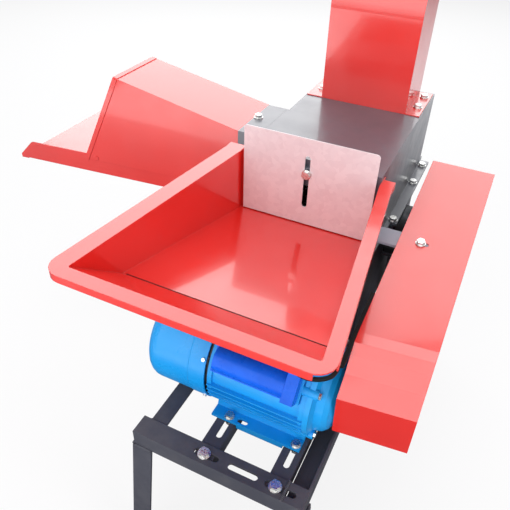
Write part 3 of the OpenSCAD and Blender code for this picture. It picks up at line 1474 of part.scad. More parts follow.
module bearing_pedestals() {
  plate_y = [rotor_y - leg_plate_l / 2, rotor_y + leg_plate_l / 2];
  right_x = [half_w - rail_leg + 1, bearing_x[1] + bearing_w / 2];
  rail_top = rail_low + rail_t;
  seat_low = seat_z - seat_t;
  color("#4a4b55") {
    // left: a plate bolted to the outside of the left rail
    difference() {
      block([left_face - leg_plate_t, left_face], plate_y, [left_low - 2, seat_low]);
      for (s = [-1, 1])
        bar_x([left_face - leg_plate_t - 1, left_face + 1], rotor_y + s * pedestal_bolt, left_bolt_z,
          m8_hole);
    }
    bearing_seat(bearing_x[0]);
    for (y = [plate_y[0] + 10, plate_y[1] - 14]) along([y, y + leg_plate_t]) polygon([
      [left_face - leg_plate_t, seat_low], [bearing_x[0] - bearing_w / 2, seat_low],
      [left_face - leg_plate_t, seat_z - 60]
    ]);
    // right: a channel that stands on the right rail's lower flange
    difference() {
      union() {
        block([right_x[0], right_leg_in], plate_y, [rail_top, rail_top + seat_t]);
        for (y = [plate_y[0], plate_y[1] - leg_plate_t])
          block(right_x, [y, y + leg_plate_t], [rail_top, seat_low]);
        block([right_x[1] - leg_plate_t, right_x[1]], plate_y, [rail_top + seat_t - 1, seat_low]);
      }
      for (s = [-1, 1])
        post(pedestal_x, rotor_y + s * pedestal_bolt, [rail_top - 1, rail_top + seat_t + 1], m8_hole);
    }
    bearing_seat(bearing_x[1]);
  }
}
module bearing_bolts() {
  color("#c9cbd0") {
    for (x = bearing_x, s = [-1, 1])
      translate([x, rotor_y + s * bearing_bolt_l / 2, seat_z + 14]) bolt(m10, 14 + seat_t);
    for (s = [-1, 1]) {
      translate([left_face - leg_plate_t, rotor_y + s * pedestal_bolt, left_bolt_z])
        rotate([0, -90, 0]) bolt(m8, leg_plate_t + rail_t);
      translate([pedestal_x, rotor_y + s * pedestal_bolt, rail_low + rail_t + seat_t])
        bolt(m8, rail_t + seat_t);
    }
  }
}

// power cord
// smooth curve through the chosen points, with two rings between neighbours
function spline(a, b, c, d, t) =
  0.5 * ((2 * b) + (c - a) * t + (2 * a - 5 * b + 4 * c - d) * t * t + (3 * b - a - 3 * c + d) * t * t * t);
function smooth(p, n) = concat([
  for (i = [0 : len(p) - 2], k = [0 : n - 1])
    spline(p[max(i - 1, 0)], p[i], p[i + 1], p[min(i + 2, len(p) - 1)], k / n)
], [p[len(p) - 1]]);
function heading(p, i) = unit(p[min(i + 1, len(p) - 1)] - p[max(i - 1, 0)]);
function level(v, t) = unit(v - (v * t) * t);
function side_dirs(p, i, last, out) =
  i == len(p) ? out :
  let(now = level(last, heading(p, i)))
  side_dirs(p, i + 1, now, concat(out, [now]));
module tube(p, r, sides, start) {
  dirs = side_dirs(p, 0, start, []);
  points = [
    for (i = [0 : len(p) - 1], k = [0 : sides - 1]) let(a = 360 * (k + 0.5) / sides)
    p[i] + r * (cos(a) * dirs[i] + sin(a) * cross(heading(p, i), dirs[i]))
];
last = len(p) - 1;
faces = concat(
  [[for (k = [0 : sides - 1]) k]],
  [for (i = [0 : last - 1], k = [0 : sides - 1], h = [0, 1])
    let(k2 = (k + 1) % sides, a = i * sides + k, b = i * sides + k2,
      c = (i + 1) * sides + k2, d = (i + 1) * sides + k)
    h == 0 ? [a, c, b] : [a, d, c]],
  [[for (k = [0 : sides - 1]) last * sides + sides - 1 - k]]
);
polyhedron(points = points, faces = faces, convexity = 10);
}
module power_cord() {
color("#141416")
tube(smooth(cord_points, 2), cord_r, 8, [1, 0, 0]);
}
// the spare length: in along the floor, up a layer in half a turn, and out again
function coil_point(t) =
let(mid = coil_turns, r = coil_in_r + coil_step * abs(t - mid),
  up = min(1, max(0, (t - mid) * 2 + 0.5)), a = -90 - 360 * t)
coil_at + [r * cos(a), r * sin(a), coil_step * up];
coil_line = [for (i = [0 : 2 * coil_turns * coil_rings]) coil_point(i / coil_rings)];
coil_path = concat(
[coil_end], coil_line,
[coil_line[len(coil_line) - 1] + [-2 * cord_r, 0, 0]]
);
// the least distance between two stretches that are over a quarter turn apart
coil_gap = min([
for (i = [0 : len(coil_line) - 1], j = [i + coil_rings / 4 : 1 : len(coil_line) - 1])
  norm(coil_line[i] - coil_line[j])
]) - 2 * cord_r;
echo(coil_gap = coil_gap);
module cord_coil() {
color("#141416")
tube(coil_path, cord_r, 6, [0, 0, 1]);
}
plug_at = coil_path[len(coil_path) - 1];
module cord_plug() {
color("#17181a")
translate([plug_at[0], plug_at[1], plug_at[2]]) rotate([0, -90, 0]) {
  cylinder(r1 = cord_r + 1, r2 = 7, h = 20);
    up(19) cylinder(r1 = 7.5, r2 = 11, h = 14);
    translate([-plug_at[2], -19, 32]) cube([24, 38, plug_len - 32]);
  }
  color("#c9cbd0")
  for (s = [-1, 1]) translate([plug_at[0] - plug_len - 18, plug_at[1] + s * 9.5, 12])
    rotate([0, 90, 0]) cylinder(r = 2.4, h = 20);
}

front_rail();
rear_rail();
left_rail();
right_rail();
cross_rail();
legs();
slide_rails();
slide_rail_bolts();
motor_frame();
drive_end_shield();
fan_end_shield();
fan_cover();
motor_fan();
motor_shaft();
motor_bearings();
capacitor_cover();
terminal_box();
terminal_lid();
cable_gland();
motor_screws();
motor_foot_bolts();
motor_pulley();
rotor_pulley();
v_belts();
belt_guard();
guard_brackets();
guard_bolts();
lower_casing();
upper_casing();
casing_bolts();
inlet_collar();
feed_tray();
feed_hood();
feed_bolts();
hood_rivets();
hopper();
feed_gate();
gate_bolt();
chute();
chute_flap();
flap_pin();
rotor_shaft();
knife_disc();
knives();
knife_bolts();
fixed_knife();
hammer_plates();
hammer_pins();
hammers_a();
hammers_b();
hammers_c();
hammers_d();
screen();
meal_spout();
bearings();
bearing_pedestals();
bearing_bolts();
power_cord();
cord_coil();
cord_plug();
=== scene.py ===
import bpy
import json
from math import cos, radians, sin
from mathutils import Vector, Matrix


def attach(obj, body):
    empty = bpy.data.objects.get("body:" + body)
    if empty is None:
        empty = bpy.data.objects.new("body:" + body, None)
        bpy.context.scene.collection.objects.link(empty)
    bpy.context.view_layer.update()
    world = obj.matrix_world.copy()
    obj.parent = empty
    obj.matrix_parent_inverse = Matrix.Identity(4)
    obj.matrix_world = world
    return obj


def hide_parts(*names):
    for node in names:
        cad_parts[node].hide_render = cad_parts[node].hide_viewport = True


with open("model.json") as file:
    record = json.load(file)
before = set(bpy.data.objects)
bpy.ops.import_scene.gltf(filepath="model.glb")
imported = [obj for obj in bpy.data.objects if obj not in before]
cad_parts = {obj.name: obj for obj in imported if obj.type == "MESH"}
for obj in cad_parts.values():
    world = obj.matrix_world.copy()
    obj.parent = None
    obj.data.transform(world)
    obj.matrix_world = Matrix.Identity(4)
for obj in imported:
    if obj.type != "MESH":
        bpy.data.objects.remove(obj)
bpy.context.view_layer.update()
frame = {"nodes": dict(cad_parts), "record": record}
BODY = "base"


# The view of the photograph: the eye stands 1.2 m up, in front and to the right, and looks down.
EYE = Vector((0.2655, -0.845, 1.2092))
VIEW_TURN, VIEW_DOWN, VIEW_TILT = 24.94, 37.78, 1.8
SENSOR, LENS = 36, 39.95


def place_camera():
    turn, down, tilt = radians(VIEW_TURN), radians(VIEW_DOWN), radians(VIEW_TILT)
    ahead = Vector((-sin(turn) * cos(down), cos(turn) * cos(down), -sin(down)))
    flat_right = Vector((cos(turn), sin(turn), 0))
    flat_up = flat_right.cross(ahead)
    right = cos(tilt) * flat_right + sin(tilt) * flat_up
    up = cos(tilt) * flat_up - sin(tilt) * flat_right
    camera = bpy.data.objects.new("camera", bpy.data.cameras.new("camera"))
    bpy.context.scene.collection.objects.link(camera)
    camera.matrix_world = Matrix([
        (right.x, up.x, -ahead.x, EYE.x),
        (right.y, up.y, -ahead.y, EYE.y),
        (right.z, up.z, -ahead.z, EYE.z),
        (0, 0, 0, 1),
    ])
    camera.data.sensor_width = SENSOR
    camera.data.lens = LENS
    camera.data.clip_start = 0.01
    bpy.context.scene.camera = camera


place_camera()


# How wide the patterns of the finishes are, in metres.
SHADE_PATCH = 0.22  # drifts of shade over a sheet
HANDLED_PATCH = 0.045  # places that hands and fodder have dulled
DUST_PATCH = 0.06  # pale field dust
SWELL = 0.13  # thin sheet is never quite flat
CRYSTAL = 0.009  # one crystal of the zinc
DROSS = 0.003  # specks of dross and oil


# Nodes and colours.
def linear(code):
    """An sRGB hex colour as the linear colour that a socket takes."""
    parts = [int(code[i:i + 2], 16) / 255 for i in (0, 2, 4)]
    return [p / 12.92 if p <= 0.04045 else ((p + 0.055) / 1.055) ** 2.4 for p in parts] + [1.0]


def add(tree, kind, sockets=None, **settings):
    """One node, its settings, and its sockets by name or number, each given a value or a link."""
    made = tree.nodes.new(kind)
    for name, value in settings.items():
        setattr(made, name, value)
    for socket, value in (sockets or {}).items():
        if isinstance(value, bpy.types.NodeSocket):
            tree.links.new(value, made.inputs[socket])
        else:
            made.inputs[socket].default_value = value
    return made


def start(name):
    """An empty material with its shader, and the place of a point on the piece in metres."""
    finish = bpy.data.materials.new(name)
    finish.use_nodes = True
    tree = finish.node_tree
    tree.nodes.clear()
    shader = add(tree, "ShaderNodeBsdfPrincipled")
    add(tree, "ShaderNodeOutputMaterial", {"Surface": shader.outputs[0]})
    return finish, tree, shader, add(tree, "ShaderNodeTexCoord").outputs["Object"]


def noise(tree, place, size, detail=2.0, rough=0.5):
    """Fractal noise whose patches are about size metres across."""
    return add(tree, "ShaderNodeTexNoise", {
        "Vector": place, "Scale": 1 / size, "Detail": detail, "Roughness": rough,
    }).outputs[0]


def between(tree, value, low, high, to_low, to_high):
    return add(tree, "ShaderNodeMapRange", {
        "Value": value, "From Min": low, "From Max": high, "To Min": to_low, "To Max": to_high,
    }).outputs[0]


def mixed(tree, share, first, second):
    return add(tree, "ShaderNodeMix", {0: share, 6: first, 7: second}, data_type="RGBA").outputs[2]


def dented(tree, height, depth, normal=None, strength=1.0):
    sockets = {"Height": height, "Distance": depth, "Strength": strength}
    if normal is not None:
        sockets["Normal"] = normal
    return add(tree, "ShaderNodeBump", sockets).outputs[0]


def paint(name, light, deep, dull, ior, peel, peel_depth, edge, coat=0.0, wave_depth=0.0, dust=0.0):
    """Baked paint on sheet steel or a casting. dull is the roughness where clean and where handled."""
    finish, tree, shader, place = start(name)
    share = between(tree, noise(tree, place, SHADE_PATCH), 0.35, 0.65, 0, 1)
    shade = mixed(tree, share, linear(light), linear(deep))
    if dust:
        film = between(tree, noise(tree, place, DUST_PATCH, 5.0, 0.62), 0.48, 0.8, 0, dust)
        shade = mixed(tree, film, shade, linear("cfc8c0"))
    tree.links.new(shade, shader.inputs["Base Color"])
    tree.links.new(
        between(tree, noise(tree, place, HANDLED_PATCH, 4.0, 0.6), 0.38, 0.72, *dull),
        shader.inputs["Roughness"],
    )
    # bends and cut edges are round, not knife-sharp
    normal = add(tree, "ShaderNodeBevel", {"Radius": edge}, samples=4).outputs[0]
    if wave_depth:
        normal = dented(tree, noise(tree, place, SWELL, 1.0), wave_depth, normal)
    normal = dented(tree, noise(tree, place, peel, 2.0), peel_depth, normal)
    tree.links.new(normal, shader.inputs["Normal"])
    shader.inputs["IOR"].default_value = ior
    shader.inputs["Coat Weight"].default_value = coat
    shader.inputs["Coat Roughness"].default_value = 0.06
    shader.inputs["Coat IOR"].default_value = ior
    return finish


def metal(name, light, deep, dull, patch, grain, grain_depth, shiny=1.0, edge=0.0006):
    """Bare or plated metal with patches of shade, patch metres across, over a fine grain."""
    finish, tree, shader, place = start(name)
    share = between(tree, noise(tree, place, patch, 3.0), 0.35, 0.65, 0, 1)
    tree.links.new(mixed(tree, share, linear(light), linear(deep)), shader.inputs["Base Color"])
    tree.links.new(
        between(tree, noise(tree, place, patch / 3, 4.0), 0.35, 0.7, *dull),
        shader.inputs["Roughness"],
    )
    shader.inputs["Metallic"].default_value = shiny
    normal = add(tree, "ShaderNodeBevel", {"Radius": edge}, samples=4).outputs[0]
    tree.links.new(dented(tree, noise(tree, place, grain), grain_depth, normal), shader.inputs["Normal"])
    return finish


def moulded(name, light, deep, dull, grain, grain_depth, ior=1.5):
    """Moulded plastic or rubber, with the spark-eroded grain of its mould."""
    finish, tree, shader, place = start(name)
    share = between(tree, noise(tree, place, 0.03, 3.0), 0.35, 0.65, 0, 1)
    tree.links.new(mixed(tree, share, linear(light), linear(deep)), shader.inputs["Base Color"])
    tree.links.new(
        between(tree, noise(tree, place, 0.02, 4.0), 0.35, 0.7, *dull), shader.inputs["Roughness"],
    )
    normal = add(tree, "ShaderNodeBevel", {"Radius": 0.001}, samples=4).outputs[0]
    tree.links.new(dented(tree, noise(tree, place, grain), grain_depth, normal), shader.inputs["Normal"])
    shader.inputs["IOR"].default_value = ior
    return finish


def spangled_zinc():
    """Hot-dip galvanised sheet: flat crystals 9 mm across, each with its own shade and dullness."""
    finish, tree, shader, place = start("galvanised_sheet_spangled")
    warped = add(tree, "ShaderNodeVectorMath", {
        0: place,
        1: add(tree, "ShaderNodeVectorMath", {
            0: add(tree, "ShaderNodeTexNoise", {"Vector": place, "Scale": 90.0}).outputs[1],
            1: (0.006, 0.006, 0.006),
        }, operation="MULTIPLY").outputs[0],
    }, operation="ADD").outputs[0]
    crystal = add(tree, "ShaderNodeTexVoronoi", {"Vector": warped, "Scale": 1 / CRYSTAL}).outputs["Color"]
    lot = add(tree, "ShaderNodeSeparateColor", {0: crystal}).outputs[0]
    speck = between(tree, noise(tree, place, DROSS, 3.0, 0.7), 0.66, 0.76, 0, 0.2)
    shade = mixed(tree, lot, linear("dcd6da"), linear("e4dfe2"))
    tree.links.new(mixed(tree, speck, shade, linear("8d8482")), shader.inputs["Base Color"])
    tree.links.new(between(tree, lot, 0, 1, 0.5, 0.6), shader.inputs["Roughness"])
    shader.inputs["Metallic"].default_value = 0.12
    tree.links.new(dented(tree, lot, 0.00002), shader.inputs["Normal"])
    return finish


# Red: thick glossy powder coat on thin sheet steel, with faint orange peel 3 mm across drawn 5 mm
# wide so that it shows, and slow swells that bend what it reflects.
sheet_red = paint(
    "powder_coat_red_on_sheet", "e8302a", "de2a24", (0.18, 0.26), 1.6,
    peel=0.005, peel_depth=0.00001, edge=0.0012, coat=0.5, wave_depth=0.0005,
)
# Charcoal: matt texture powder coat on angle iron, sandy grain 1.5 mm drawn 2.5 mm wide.
angle_charcoal = paint(
    "powder_coat_charcoal_on_angle", "484953", "3f404a", (0.52, 0.66), 1.45,
    peel=0.0025, peel_depth=0.00006, edge=0.0012, dust=0.06,
)
# Casing: satin grey enamel on 3 mm plate, bright where its edges are round.
plate_grey = paint(
    "enamel_grey_on_plate", "5a5d68", "52555f", (0.3, 0.42), 1.6,
    peel=0.004, peel_depth=0.00002, edge=0.0014, coat=0.35, wave_depth=0.0004, dust=0.03,
)
# Motor: sprayed blue enamel over a sand-cast and ribbed shell, cast grain 2.5 mm wide.
cast_blue = paint(
    "enamel_blue_on_casting", "149fe8", "1090dc", (0.3, 0.46), 1.38,
    peel=0.0025, peel_depth=0.00008, edge=0.001, dust=0.03,
)
# Fan cover: the same enamel on a smooth deep-drawn cap.
drawn_blue = paint(
    "enamel_blue_on_drawn_cap", "149eea", "1092e0", (0.26, 0.38), 1.42,
    peel=0.005, peel_depth=0.00002, edge=0.0014, wave_depth=0.0004,
)
# Guard brackets: pale silver enamel on bent strip.
silver_strip = paint(
    "enamel_silver_on_strip", "a3a5b2", "999ba8", (0.34, 0.46), 1.45,
    peel=0.004, peel_depth=0.00002, edge=0.001, wave_depth=0.0003,
)
# Capacitor cover: glossy royal blue ABS, moulded in one piece.
cover_blue = moulded("abs_blue_glossy", "0f66ea", "0c5cdc", (0.24, 0.36), 0.004, 0.00001, 1.28)
# Zinc plating with clear chromate on bolts, soft blue-white shine with fingermarks.
plated = metal("zinc_plate_on_bolts", "d9dada", "bfc0bd", (0.22, 0.4), 0.012, 0.0015, 0.00002)
# Ground shaft ends and sharpened knives.
ground = metal("ground_steel", "b9bbc0", "a2a4a9", (0.2, 0.34), 0.03, 0.001, 0.00001)
# Grey iron, sand cast: dark, rough and only half bare.
grey_iron = metal("grey_cast_iron", "4a4c50", "35373b", (0.45, 0.62), 0.03, 0.003, 0.00015, 0.6, 0.0015)
# Black ABS with a fine matt grain.
black_abs = moulded("abs_black_grained", "1f2024", "17181b", (0.4, 0.55), 0.0015, 0.00004)
# Natural rubber and cord jacket, soft sheen.
black_rubber = moulded("rubber_black", "101012", "0b0b0d", (0.55, 0.7), 0.002, 0.00003, 1.3)
# Thin zinc sheet of the blank rating plate.
plate_bare = metal("aluminium_sheet_brushed", "c9ccd0", "b4b7bb", (0.28, 0.42), 0.02, 0.0008, 0.00001)
zinc_sheet = spangled_zinc()

SLOT_FINISH = {
    "frame_charcoal": angle_charcoal, "casing_grey": plate_grey, "red_paint": sheet_red,
    "motor_blue": cast_blue, "cap_blue": cover_blue, "zinc": plated, "galvanised": zinc_sheet,
    "steel": ground, "cast_iron": grey_iron, "black_plastic": black_abs, "rubber": black_rubber,
}
NODE_FINISH = {"fan_cover": drawn_blue, "guard_brackets": silver_strip}
for part in frame["record"]["subparts"]:
    finish = NODE_FINISH.get(part["node"], SLOT_FINISH[part["material_slot"]])
    for place in frame["nodes"][part["node"]].material_slots:
        place.material = finish


def box(node):
    """The low and the high corner of a node's box at rest, in millimetres."""
    piece = frame["nodes"][node]
    corners = [piece.matrix_world @ Vector(c) * 1000 for c in piece.bound_box]
    return [Vector([pick(c[i] for c in corners) for i in range(3)]) for pick in (min, max)]


def show(name, mesh, finish, body=BODY):
    """A new piece with its finish, riding on a body."""
    piece = bpy.data.objects.new(name, mesh)
    bpy.context.scene.collection.objects.link(piece)
    if not mesh.materials:
        mesh.materials.append(finish)
    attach(piece, body)
    return piece


# Power cord: rubber lead, 7 mm thick, from the gland over the motor's end, down inside the stand
# and back along the floor to its coil and plug. The points are in millimetres.
CORD_POINTS = [
    (86, -307, 575), (88, -318, 578), (96, -331, 584), (111, -338, 588), (128, -335, 589),
    (141, -323, 586), (146, -306, 580), (145, -280, 571), (139, -250, 564), (128, -215, 558),
    (112, -178, 550), (94, -148, 536), (78, -125, 510), (68, -110, 470), (63, -103, 420),
    (60, -100, 350), (60, -100, 280), (60, -100, 200), (60, -100, 120), (60, -99, 60),
    (58, -91, 22), (55, -68, 7), (50, -40, 3.5), (42, 30, 3.5), (30, 110, 3.5),
    (14, 200, 3.5), (2, 290, 3.5), (-2, 370, 3.5), (-12, 430, 3.5), (-32, 465, 3.5),
    (-60, 478, 3.5),
]
CORD_R = 3.5
COIL_MID = 38.5
COIL_TURNS = 3
COIL_STEPS = 48
CURVE_STEPS = 6


def smooth_line(points, steps):
    """A curve through the points, with some steps between neighbours."""
    line = []
    for i in range(len(points) - 1):
        a, b, c, d = (Vector(points[min(max(i + k, 0), len(points) - 1)]) for k in (-1, 0, 1, 2))
        for k in range(steps):
            t = k / steps
            line.append(0.5 * (2 * b + (c - a) * t + (2 * a - 5 * b + 4 * c - d) * t * t
                               + (3 * b - a - 3 * c + d) * t ** 3))
    return line + [Vector(points[-1])]


def coil_line():
    """The spare length: in along the floor, up a layer, and out again."""
    step = 2 * CORD_R + 0.7
    inner = COIL_MID - step * COIL_TURNS / 2
    end = Vector(CORD_POINTS[-1])
    centre = Vector((end.x - 2 * CORD_R, end.y + inner + step * COIL_TURNS, CORD_R))
    line = []
    for i in range(2 * COIL_TURNS * COIL_STEPS + 1):
        t = i / COIL_STEPS
        out = inner + step * abs(t - COIL_TURNS)
        layer = min(1, max(0, (t - COIL_TURNS) * 2 + 0.5))
        a = radians(-90 - 360 * t)
        line.append(centre + Vector((out * cos(a), out * sin(a), step * layer)))
    return line + [line[-1] + Vector((-2 * CORD_R, 0, 0))]


def make_cord():
    line = smooth_line(CORD_POINTS, CURVE_STEPS) + coil_line()
    curve = bpy.data.curves.new("power_lead", "CURVE")
    curve.dimensions = "3D"
    curve.bevel_depth = CORD_R / 1000
    curve.bevel_resolution = 3
    curve.use_fill_caps = True
    run = curve.splines.new("POLY")
    run.points.add(len(line) - 1)
    for point, at in zip(run.points, line):
        point.co = (*(at / 1000), 1)
    curve.materials.append(black_rubber)
    lead = bpy.data.objects.new("power_lead", curve)
    bpy.context.scene.collection.objects.link(lead)
    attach(lead, BODY)
    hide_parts("power_cord", "cord_coil")


make_cord()


# Repeated things, made by node trees.
def weld_tree():
    """Beads of a weld run along the edges of a mesh, one flattened blob for each ripple."""
    tree = bpy.data.node_groups.new("weld_run", "GeometryNodeTree")
    ends = tree.interface
    ends.new_socket("Geometry", in_out="INPUT", socket_type="NodeSocketGeometry")
    width = ends.new_socket("Bead width", in_out="INPUT", socket_type="NodeSocketFloat")
    ripple = ends.new_socket("Ripple", in_out="INPUT", socket_type="NodeSocketFloat")
    finish = ends.new_socket("Finish", in_out="INPUT", socket_type="NodeSocketMaterial")
    ends.new_socket("Geometry", in_out="OUTPUT", socket_type="NodeSocketGeometry")
    given = add(tree, "NodeGroupInput")
    line = add(tree, "GeometryNodeMeshToCurve", {"Mesh": given.outputs["Geometry"]})
    spots = add(tree, "GeometryNodeResampleCurve", {
        "Curve": line.outputs[0], "Length": given.outputs["Ripple"],
    }, mode="LENGTH")
    radius = add(tree, "ShaderNodeMath", {
        0: given.outputs["Bead width"], 1: 0.5,
    }, operation="MULTIPLY")
    blob = add(tree, "GeometryNodeMeshUVSphere", {
        "Segments": 8, "Rings": 6, "Radius": radius.outputs[0],
    })
    uneven = add(tree, "FunctionNodeRandomValue", {
        "Min": (0.55, 0.9, 0.9), "Max": (0.7, 1.12, 1.12), "Seed": 7,
    }, data_type="FLOAT_VECTOR")
    turn = add(tree, "FunctionNodeAlignRotationToVector", {
        "Vector": add(tree, "GeometryNodeInputTangent").outputs[0],
    }, axis="X")
    beads = add(tree, "GeometryNodeInstanceOnPoints", {
        "Points": spots.outputs[0], "Instance": blob.outputs[0],
        "Rotation": turn.outputs[0], "Scale": uneven.outputs[0],
    })
    whole = add(tree, "GeometryNodeRealizeInstances", {"Geometry": beads.outputs[0]})
    done = add(tree, "GeometryNodeSetMaterial", {
        "Geometry": whole.outputs[0], "Material": given.outputs["Finish"],
    })
    add(tree, "NodeGroupOutput", {"Geometry": done.outputs[0]})
    return tree, width.identifier, ripple.identifier, finish.identifier


WELD, WELD_WIDTH, WELD_RIPPLE, WELD_FINISH = weld_tree()
RIPPLE_SHARE = 0.45  # step from one ripple to the next, of the bead's width


def weld(name, runs, width, finish):
    """A piece with weld runs between the points given, in millimetres."""
    mesh = bpy.data.meshes.new(name + "_line")
    points, edges = [], []
    for run in runs:
        edges += [(len(points) + i, len(points) + i + 1) for i in range(len(run) - 1)]
        points += [Vector(p) / 1000 for p in run]
    mesh.from_pydata(points, edges, [])
    base = bpy.data.objects.new(name + "_line", mesh)
    bpy.context.scene.collection.objects.link(base)
    grow = base.modifiers.new("weld", "NODES")
    grow.node_group = WELD
    grow[WELD_WIDTH] = width
    grow[WELD_RIPPLE] = width * RIPPLE_SHARE
    grow[WELD_FINISH] = finish
    ready = base.evaluated_get(bpy.context.evaluated_depsgraph_get())
    made = bpy.data.meshes.new_from_object(ready)
    bpy.data.objects.remove(base)
    return show(name, made, finish)


def stand_welds():
    """Runs where the rails meet on top, and where each leg meets the stand's corner below."""
    front_low, front_high = box("front_rail")
    rear_low, rear_high = box("rear_rail")
    left_low, left_high = box("left_rail")
    right_low, right_high = box("right_rail")
    cross_low, cross_high = box("cross_rail")
    runs = [
        [(left_low.x, y, left_high.z), (left_high.x, y, left_high.z)] for y in (front_high.y, rear_low.y)
    ]
    runs.append([(left_high.x, y, left_high.z) for y in (cross_low.y, cross_high.y)])
    for low, high in ((cross_low, cross_high), (front_low, front_high), (rear_low, rear_high)):
        runs.append([(right_low.x, y, right_high.z) for y in (low.y, high.y)])
    side, end, under = right_high.x, right_high.y, right_low.z
    for x in (-1, 1):
        for y in (-1, 1):
            runs.append([(x * (side + 0.5 - far), y * (end + 1), under) for far in (0, LEG_RUN)])
            runs.append([(x * (side + 2.5), y * (end - far), under) for far in (1, LEG_RUN)])
    return runs


LEG_RUN = 30  # reach of a leg's weld along each leaf of its angle, in millimetres
BEAD = 0.006  # width of a weld bead, in metres
weld("frame_welds", stand_welds(), BEAD, angle_charcoal)


def bar(name, points, wide, high, finish, body=BODY):
    """A flat bar along points in millimetres: wide across, in the X-Y plane, and high along Z."""
    verts, faces = [], []
    for i, at in enumerate(points):
        ahead = Vector(points[min(i + 1, len(points) - 1)]) - Vector(points[max(i - 1, 0)])
        side = Vector((ahead.y, -ahead.x, 0)).normalized() * wide / 2
        for across, rise in ((-1, -0.5), (1, -0.5), (1, 0.5), (-1, 0.5)):
            verts.append((Vector(at) + side * across + Vector((0, 0, high * rise))) / 1000)
    for i in range(len(points) - 1):
        k = 4 * i
        faces += [(k + a, k + (a + 1) % 4, k + 4 + (a + 1) % 4, k + 4 + a) for a in range(4)]
    k = 4 * (len(points) - 1)
    faces += [(3, 2, 1, 0), (k, k + 1, k + 2, k + 3)]
    mesh = bpy.data.meshes.new(name)
    mesh.from_pydata(verts, [], faces)
    mesh.update()
    return show(name, mesh, finish, body)


# A strip in the black rubber finish along the belt guard's open left edge, 7 mm below its top line:
# painted shade, a dark piece that fills the gap between the casing and the guard. The line's height is
# known at one place and rises towards the back.
SHADE_STRIP_X, SHADE_STRIP_DROP = 150.5, 7
SHADE_STRIP_WIDE, SHADE_STRIP_HIGH = 7.4, 5
GUARD_Y, GUARD_Z = -239, 594.8
GUARD_RISE = 78.7 / 465


def guard_line(y):
    return GUARD_Z + (y - GUARD_Y) * GUARD_RISE


bar("guard_shade_strip", [(SHADE_STRIP_X, y, guard_line(y) - SHADE_STRIP_DROP) for y in (-288, -240, -190, -140)],
    SHADE_STRIP_WIDE, SHADE_STRIP_HIGH, black_rubber)

# A thin black line in the fold between the hopper's floor and its front slope: painted shade in the
# crease, drawn in the black rubber finish.
FOLD_Y = -349
FOLD_SHADE_WIDE, FOLD_SHADE_HIGH = 1.1, 0.8


def fold_line():
    """Points of the fold, found by looking down on the hopper's sheet from its rim."""
    above = 740
    line = []
    for x in (-172, -120, -60, 0, 60, 110, 143):
        start_at = Vector((x, FOLD_Y, above)) / 1000
        hit, at, _, _ = frame["nodes"]["hopper"].ray_cast(start_at, Vector((0, 0, -1)))
        if hit:
            line.append((x, FOLD_Y, at.z * 1000 + 0.3))
    return line


bar("hopper_fold_shade", fold_line(), FOLD_SHADE_WIDE, FOLD_SHADE_HIGH, black_rubber)


def domes(name, places, radius, finish):
    """Round rivet heads on places in millimetres. They stand out towards the back, along Y."""
    rings, sides = 4, 12
    swell = 0.6 * radius
    verts, faces = [], []
    for at in places:
        k = len(verts)
        for ring in range(rings):
            lift = radians(90 * ring / rings)
            for i in range(sides):
                turn = radians(360 * i / sides)
                out = Vector((
                    radius * cos(lift) * cos(turn), swell * sin(lift), -radius * cos(lift) * sin(turn),
                ))
                verts.append((Vector(at) + out) / 1000)
        verts.append((Vector(at) + Vector((0, swell, 0))) / 1000)
        for ring in range(rings - 1):
            for i in range(sides):
                a, b = k + sides * ring + i, k + sides * ring + (i + 1) % sides
                faces.append((a, b, b + sides, a + sides))
        last, tip = k + sides * (rings - 1), k + sides * rings
        faces += [(last + i, last + (i + 1) % sides, tip) for i in range(sides)]
    mesh = bpy.data.meshes.new(name)
    mesh.from_pydata(verts, [], faces)
    mesh.update()
    for face in mesh.polygons:
        face.use_smooth = True
    return show(name, mesh, finish)


# Blank rating plate on the motor's ribs, on the side away from the eye, held by two rivets.
PLATE_X = (-18, 52)
PLATE_Z, PLATE_HIGH, PLATE_T = 466, 36, 0.8
RIVET_IN, RIVET_R = 5, 2.4
ribs_y = box("motor_frame")[1].y
bar("motor_plate", [(x, ribs_y + 0.6, PLATE_Z) for x in PLATE_X], PLATE_T, PLATE_HIGH, plate_bare)
domes("motor_plate_rivets", [
    (x, ribs_y + 1, PLATE_Z) for x in (PLATE_X[0] + RIVET_IN, PLATE_X[1] - RIVET_IN)
], RIVET_R, plate_bare)

# Grip ridges over the plug's body.
RIDGES, RIDGE_STEP, RIDGE_BACK, RIDGE_HALF = 4, 4, 36, 14
RIDGE_WIDE, RIDGE_HIGH = 1.8, 1.2
plug_low, plug_high = box("cord_plug")
plug_mid = (plug_low.y + plug_high.y) / 2
for i in range(RIDGES):
    x = plug_high.x - RIDGE_BACK - RIDGE_STEP * i
    bar("plug_ridge_%d" % (i + 1), [
        (x, plug_mid + side, plug_high.z + 0.2) for side in (-RIDGE_HALF, RIDGE_HALF)
    ], RIDGE_WIDE, RIDGE_HIGH, black_abs)


# Floor, light and the white around, in metres and watts.
FLOOR = 12
# the floor's painted shade around the floor's middle, under the machine: dark up to 1 m off, pale from
# 2.4 m off
SHADE_FULL_TO, SHADE_GONE_AT = 1.0, 2.4
MACHINE = Vector((-0.1, 0, 0.55))
# Each lamp is a square softbox: its name, its place, what it faces, its side and its power. The card
# is a patch of light on the floor in front, which the upright sheets mirror.
LAMPS = (
    ("sky", Vector((-1.25, 2.55, 2.75)), MACHINE, 4.2, 128),
    ("front", Vector((-0.5, -3.1, 1.9)), MACHINE, 3.6, 88),
    ("top", Vector((0.2, -0.35, 3.6)), MACHINE, 1.7, 27),
    ("side", Vector((2.9, -1.3, 1.3)), MACHINE, 1.8, 38),
    ("card", Vector((-0.6, -2.3, 0.03)), Vector((-0.6, -2.3, 1)), 2.2, 34),
)


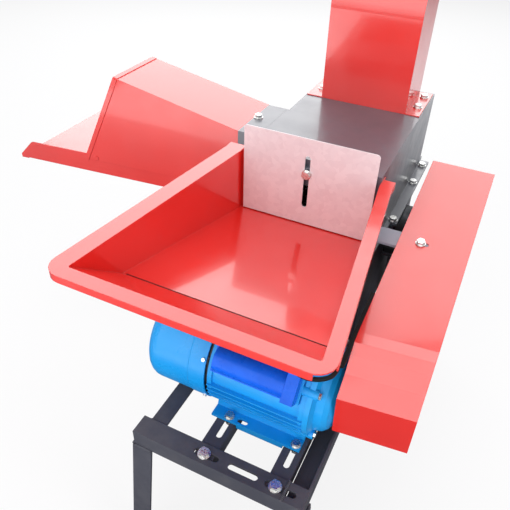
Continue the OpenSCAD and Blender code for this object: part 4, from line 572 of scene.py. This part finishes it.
def set_floor():
    mesh = bpy.data.meshes.new("floor")
    corners = [(-FLOOR, -FLOOR, 0), (FLOOR, -FLOOR, 0), (FLOOR, FLOOR, 0), (-FLOOR, FLOOR, 0)]
    mesh.from_pydata(corners, [], [(0, 1, 2, 3)])
    floor = bpy.data.objects.new("floor", mesh)
    bpy.context.scene.collection.objects.link(floor)
    floor.location.z = -0.001
    finish = bpy.data.materials.new("pale_floor_painted_shade")
    finish.use_nodes = True
    tree = finish.node_tree
    tree.nodes.clear()
    seen = add(tree, "ShaderNodeLightPath")
    # a pale floor in the picture; for all other rays the floor carries painted shade, so what the paint
    # mirrors is dark near the machine and pale far off
    far = add(tree, "ShaderNodeVectorMath", {
        0: add(tree, "ShaderNodeTexCoord").outputs["Object"],
    }, operation="LENGTH").outputs["Value"]
    away = between(tree, far, SHADE_FULL_TO, SHADE_GONE_AT, 0, 1)
    tone = mixed(tree, away, linear("6a6b6e"), linear("f2f2f4"))
    tone = mixed(tree, seen.outputs["Is Camera Ray"], tone, linear("ececee"))
    plain = add(tree, "ShaderNodeBsdfDiffuse", {"Color": tone})
    white = add(tree, "ShaderNodeEmission", {"Color": linear("ffffff"), "Strength": 1.0})
    share = add(tree, "ShaderNodeMath", {
        0: seen.outputs["Is Camera Ray"], 1: 0.8,
    }, operation="MULTIPLY")
    both = add(tree, "ShaderNodeMixShader", {
        0: share.outputs[0], 1: plain.outputs[0], 2: white.outputs[0],
    })
    add(tree, "ShaderNodeOutputMaterial", {"Surface": both.outputs[0]})
    mesh.materials.append(finish)


def set_world():
    world = bpy.data.worlds.new("studio")
    bpy.context.scene.world = world
    world.use_nodes = True
    tree = world.node_tree
    tree.nodes.clear()
    seen = add(tree, "ShaderNodeLightPath")
    direct = add(tree, "ShaderNodeMath", {
        0: seen.outputs["Is Camera Ray"], 1: seen.outputs["Is Glossy Ray"],
    }, operation="MAXIMUM")
    direct = add(tree, "ShaderNodeMath", {
        0: direct.outputs[0], 1: seen.outputs["Is Transmission Ray"],
    }, operation="MAXIMUM")
    soft = add(tree, "ShaderNodeBackground", {"Color": linear("fafbff"), "Strength": 0.25})
    white = add(tree, "ShaderNodeBackground", {"Color": linear("ffffff"), "Strength": 1.0})
    both = add(tree, "ShaderNodeMixShader", {
        0: direct.outputs[0], 1: soft.outputs[0], 2: white.outputs[0],
    })
    add(tree, "ShaderNodeOutputWorld", {"Surface": both.outputs[0]})


def set_lamps():
    for name, at, facing, side, power in LAMPS:
        lamp = bpy.data.lights.new(name, "AREA")
        lamp.shape = "SQUARE"
        lamp.size = side
        lamp.energy = power
        light = bpy.data.objects.new(name, lamp)
        light.location = at
        light.rotation_euler = (facing - at).to_track_quat("-Z", "Y").to_euler()
        bpy.context.scene.collection.objects.link(light)


set_floor()
set_world()
set_lamps()
bpy.context.scene.view_settings.view_transform = "Standard"
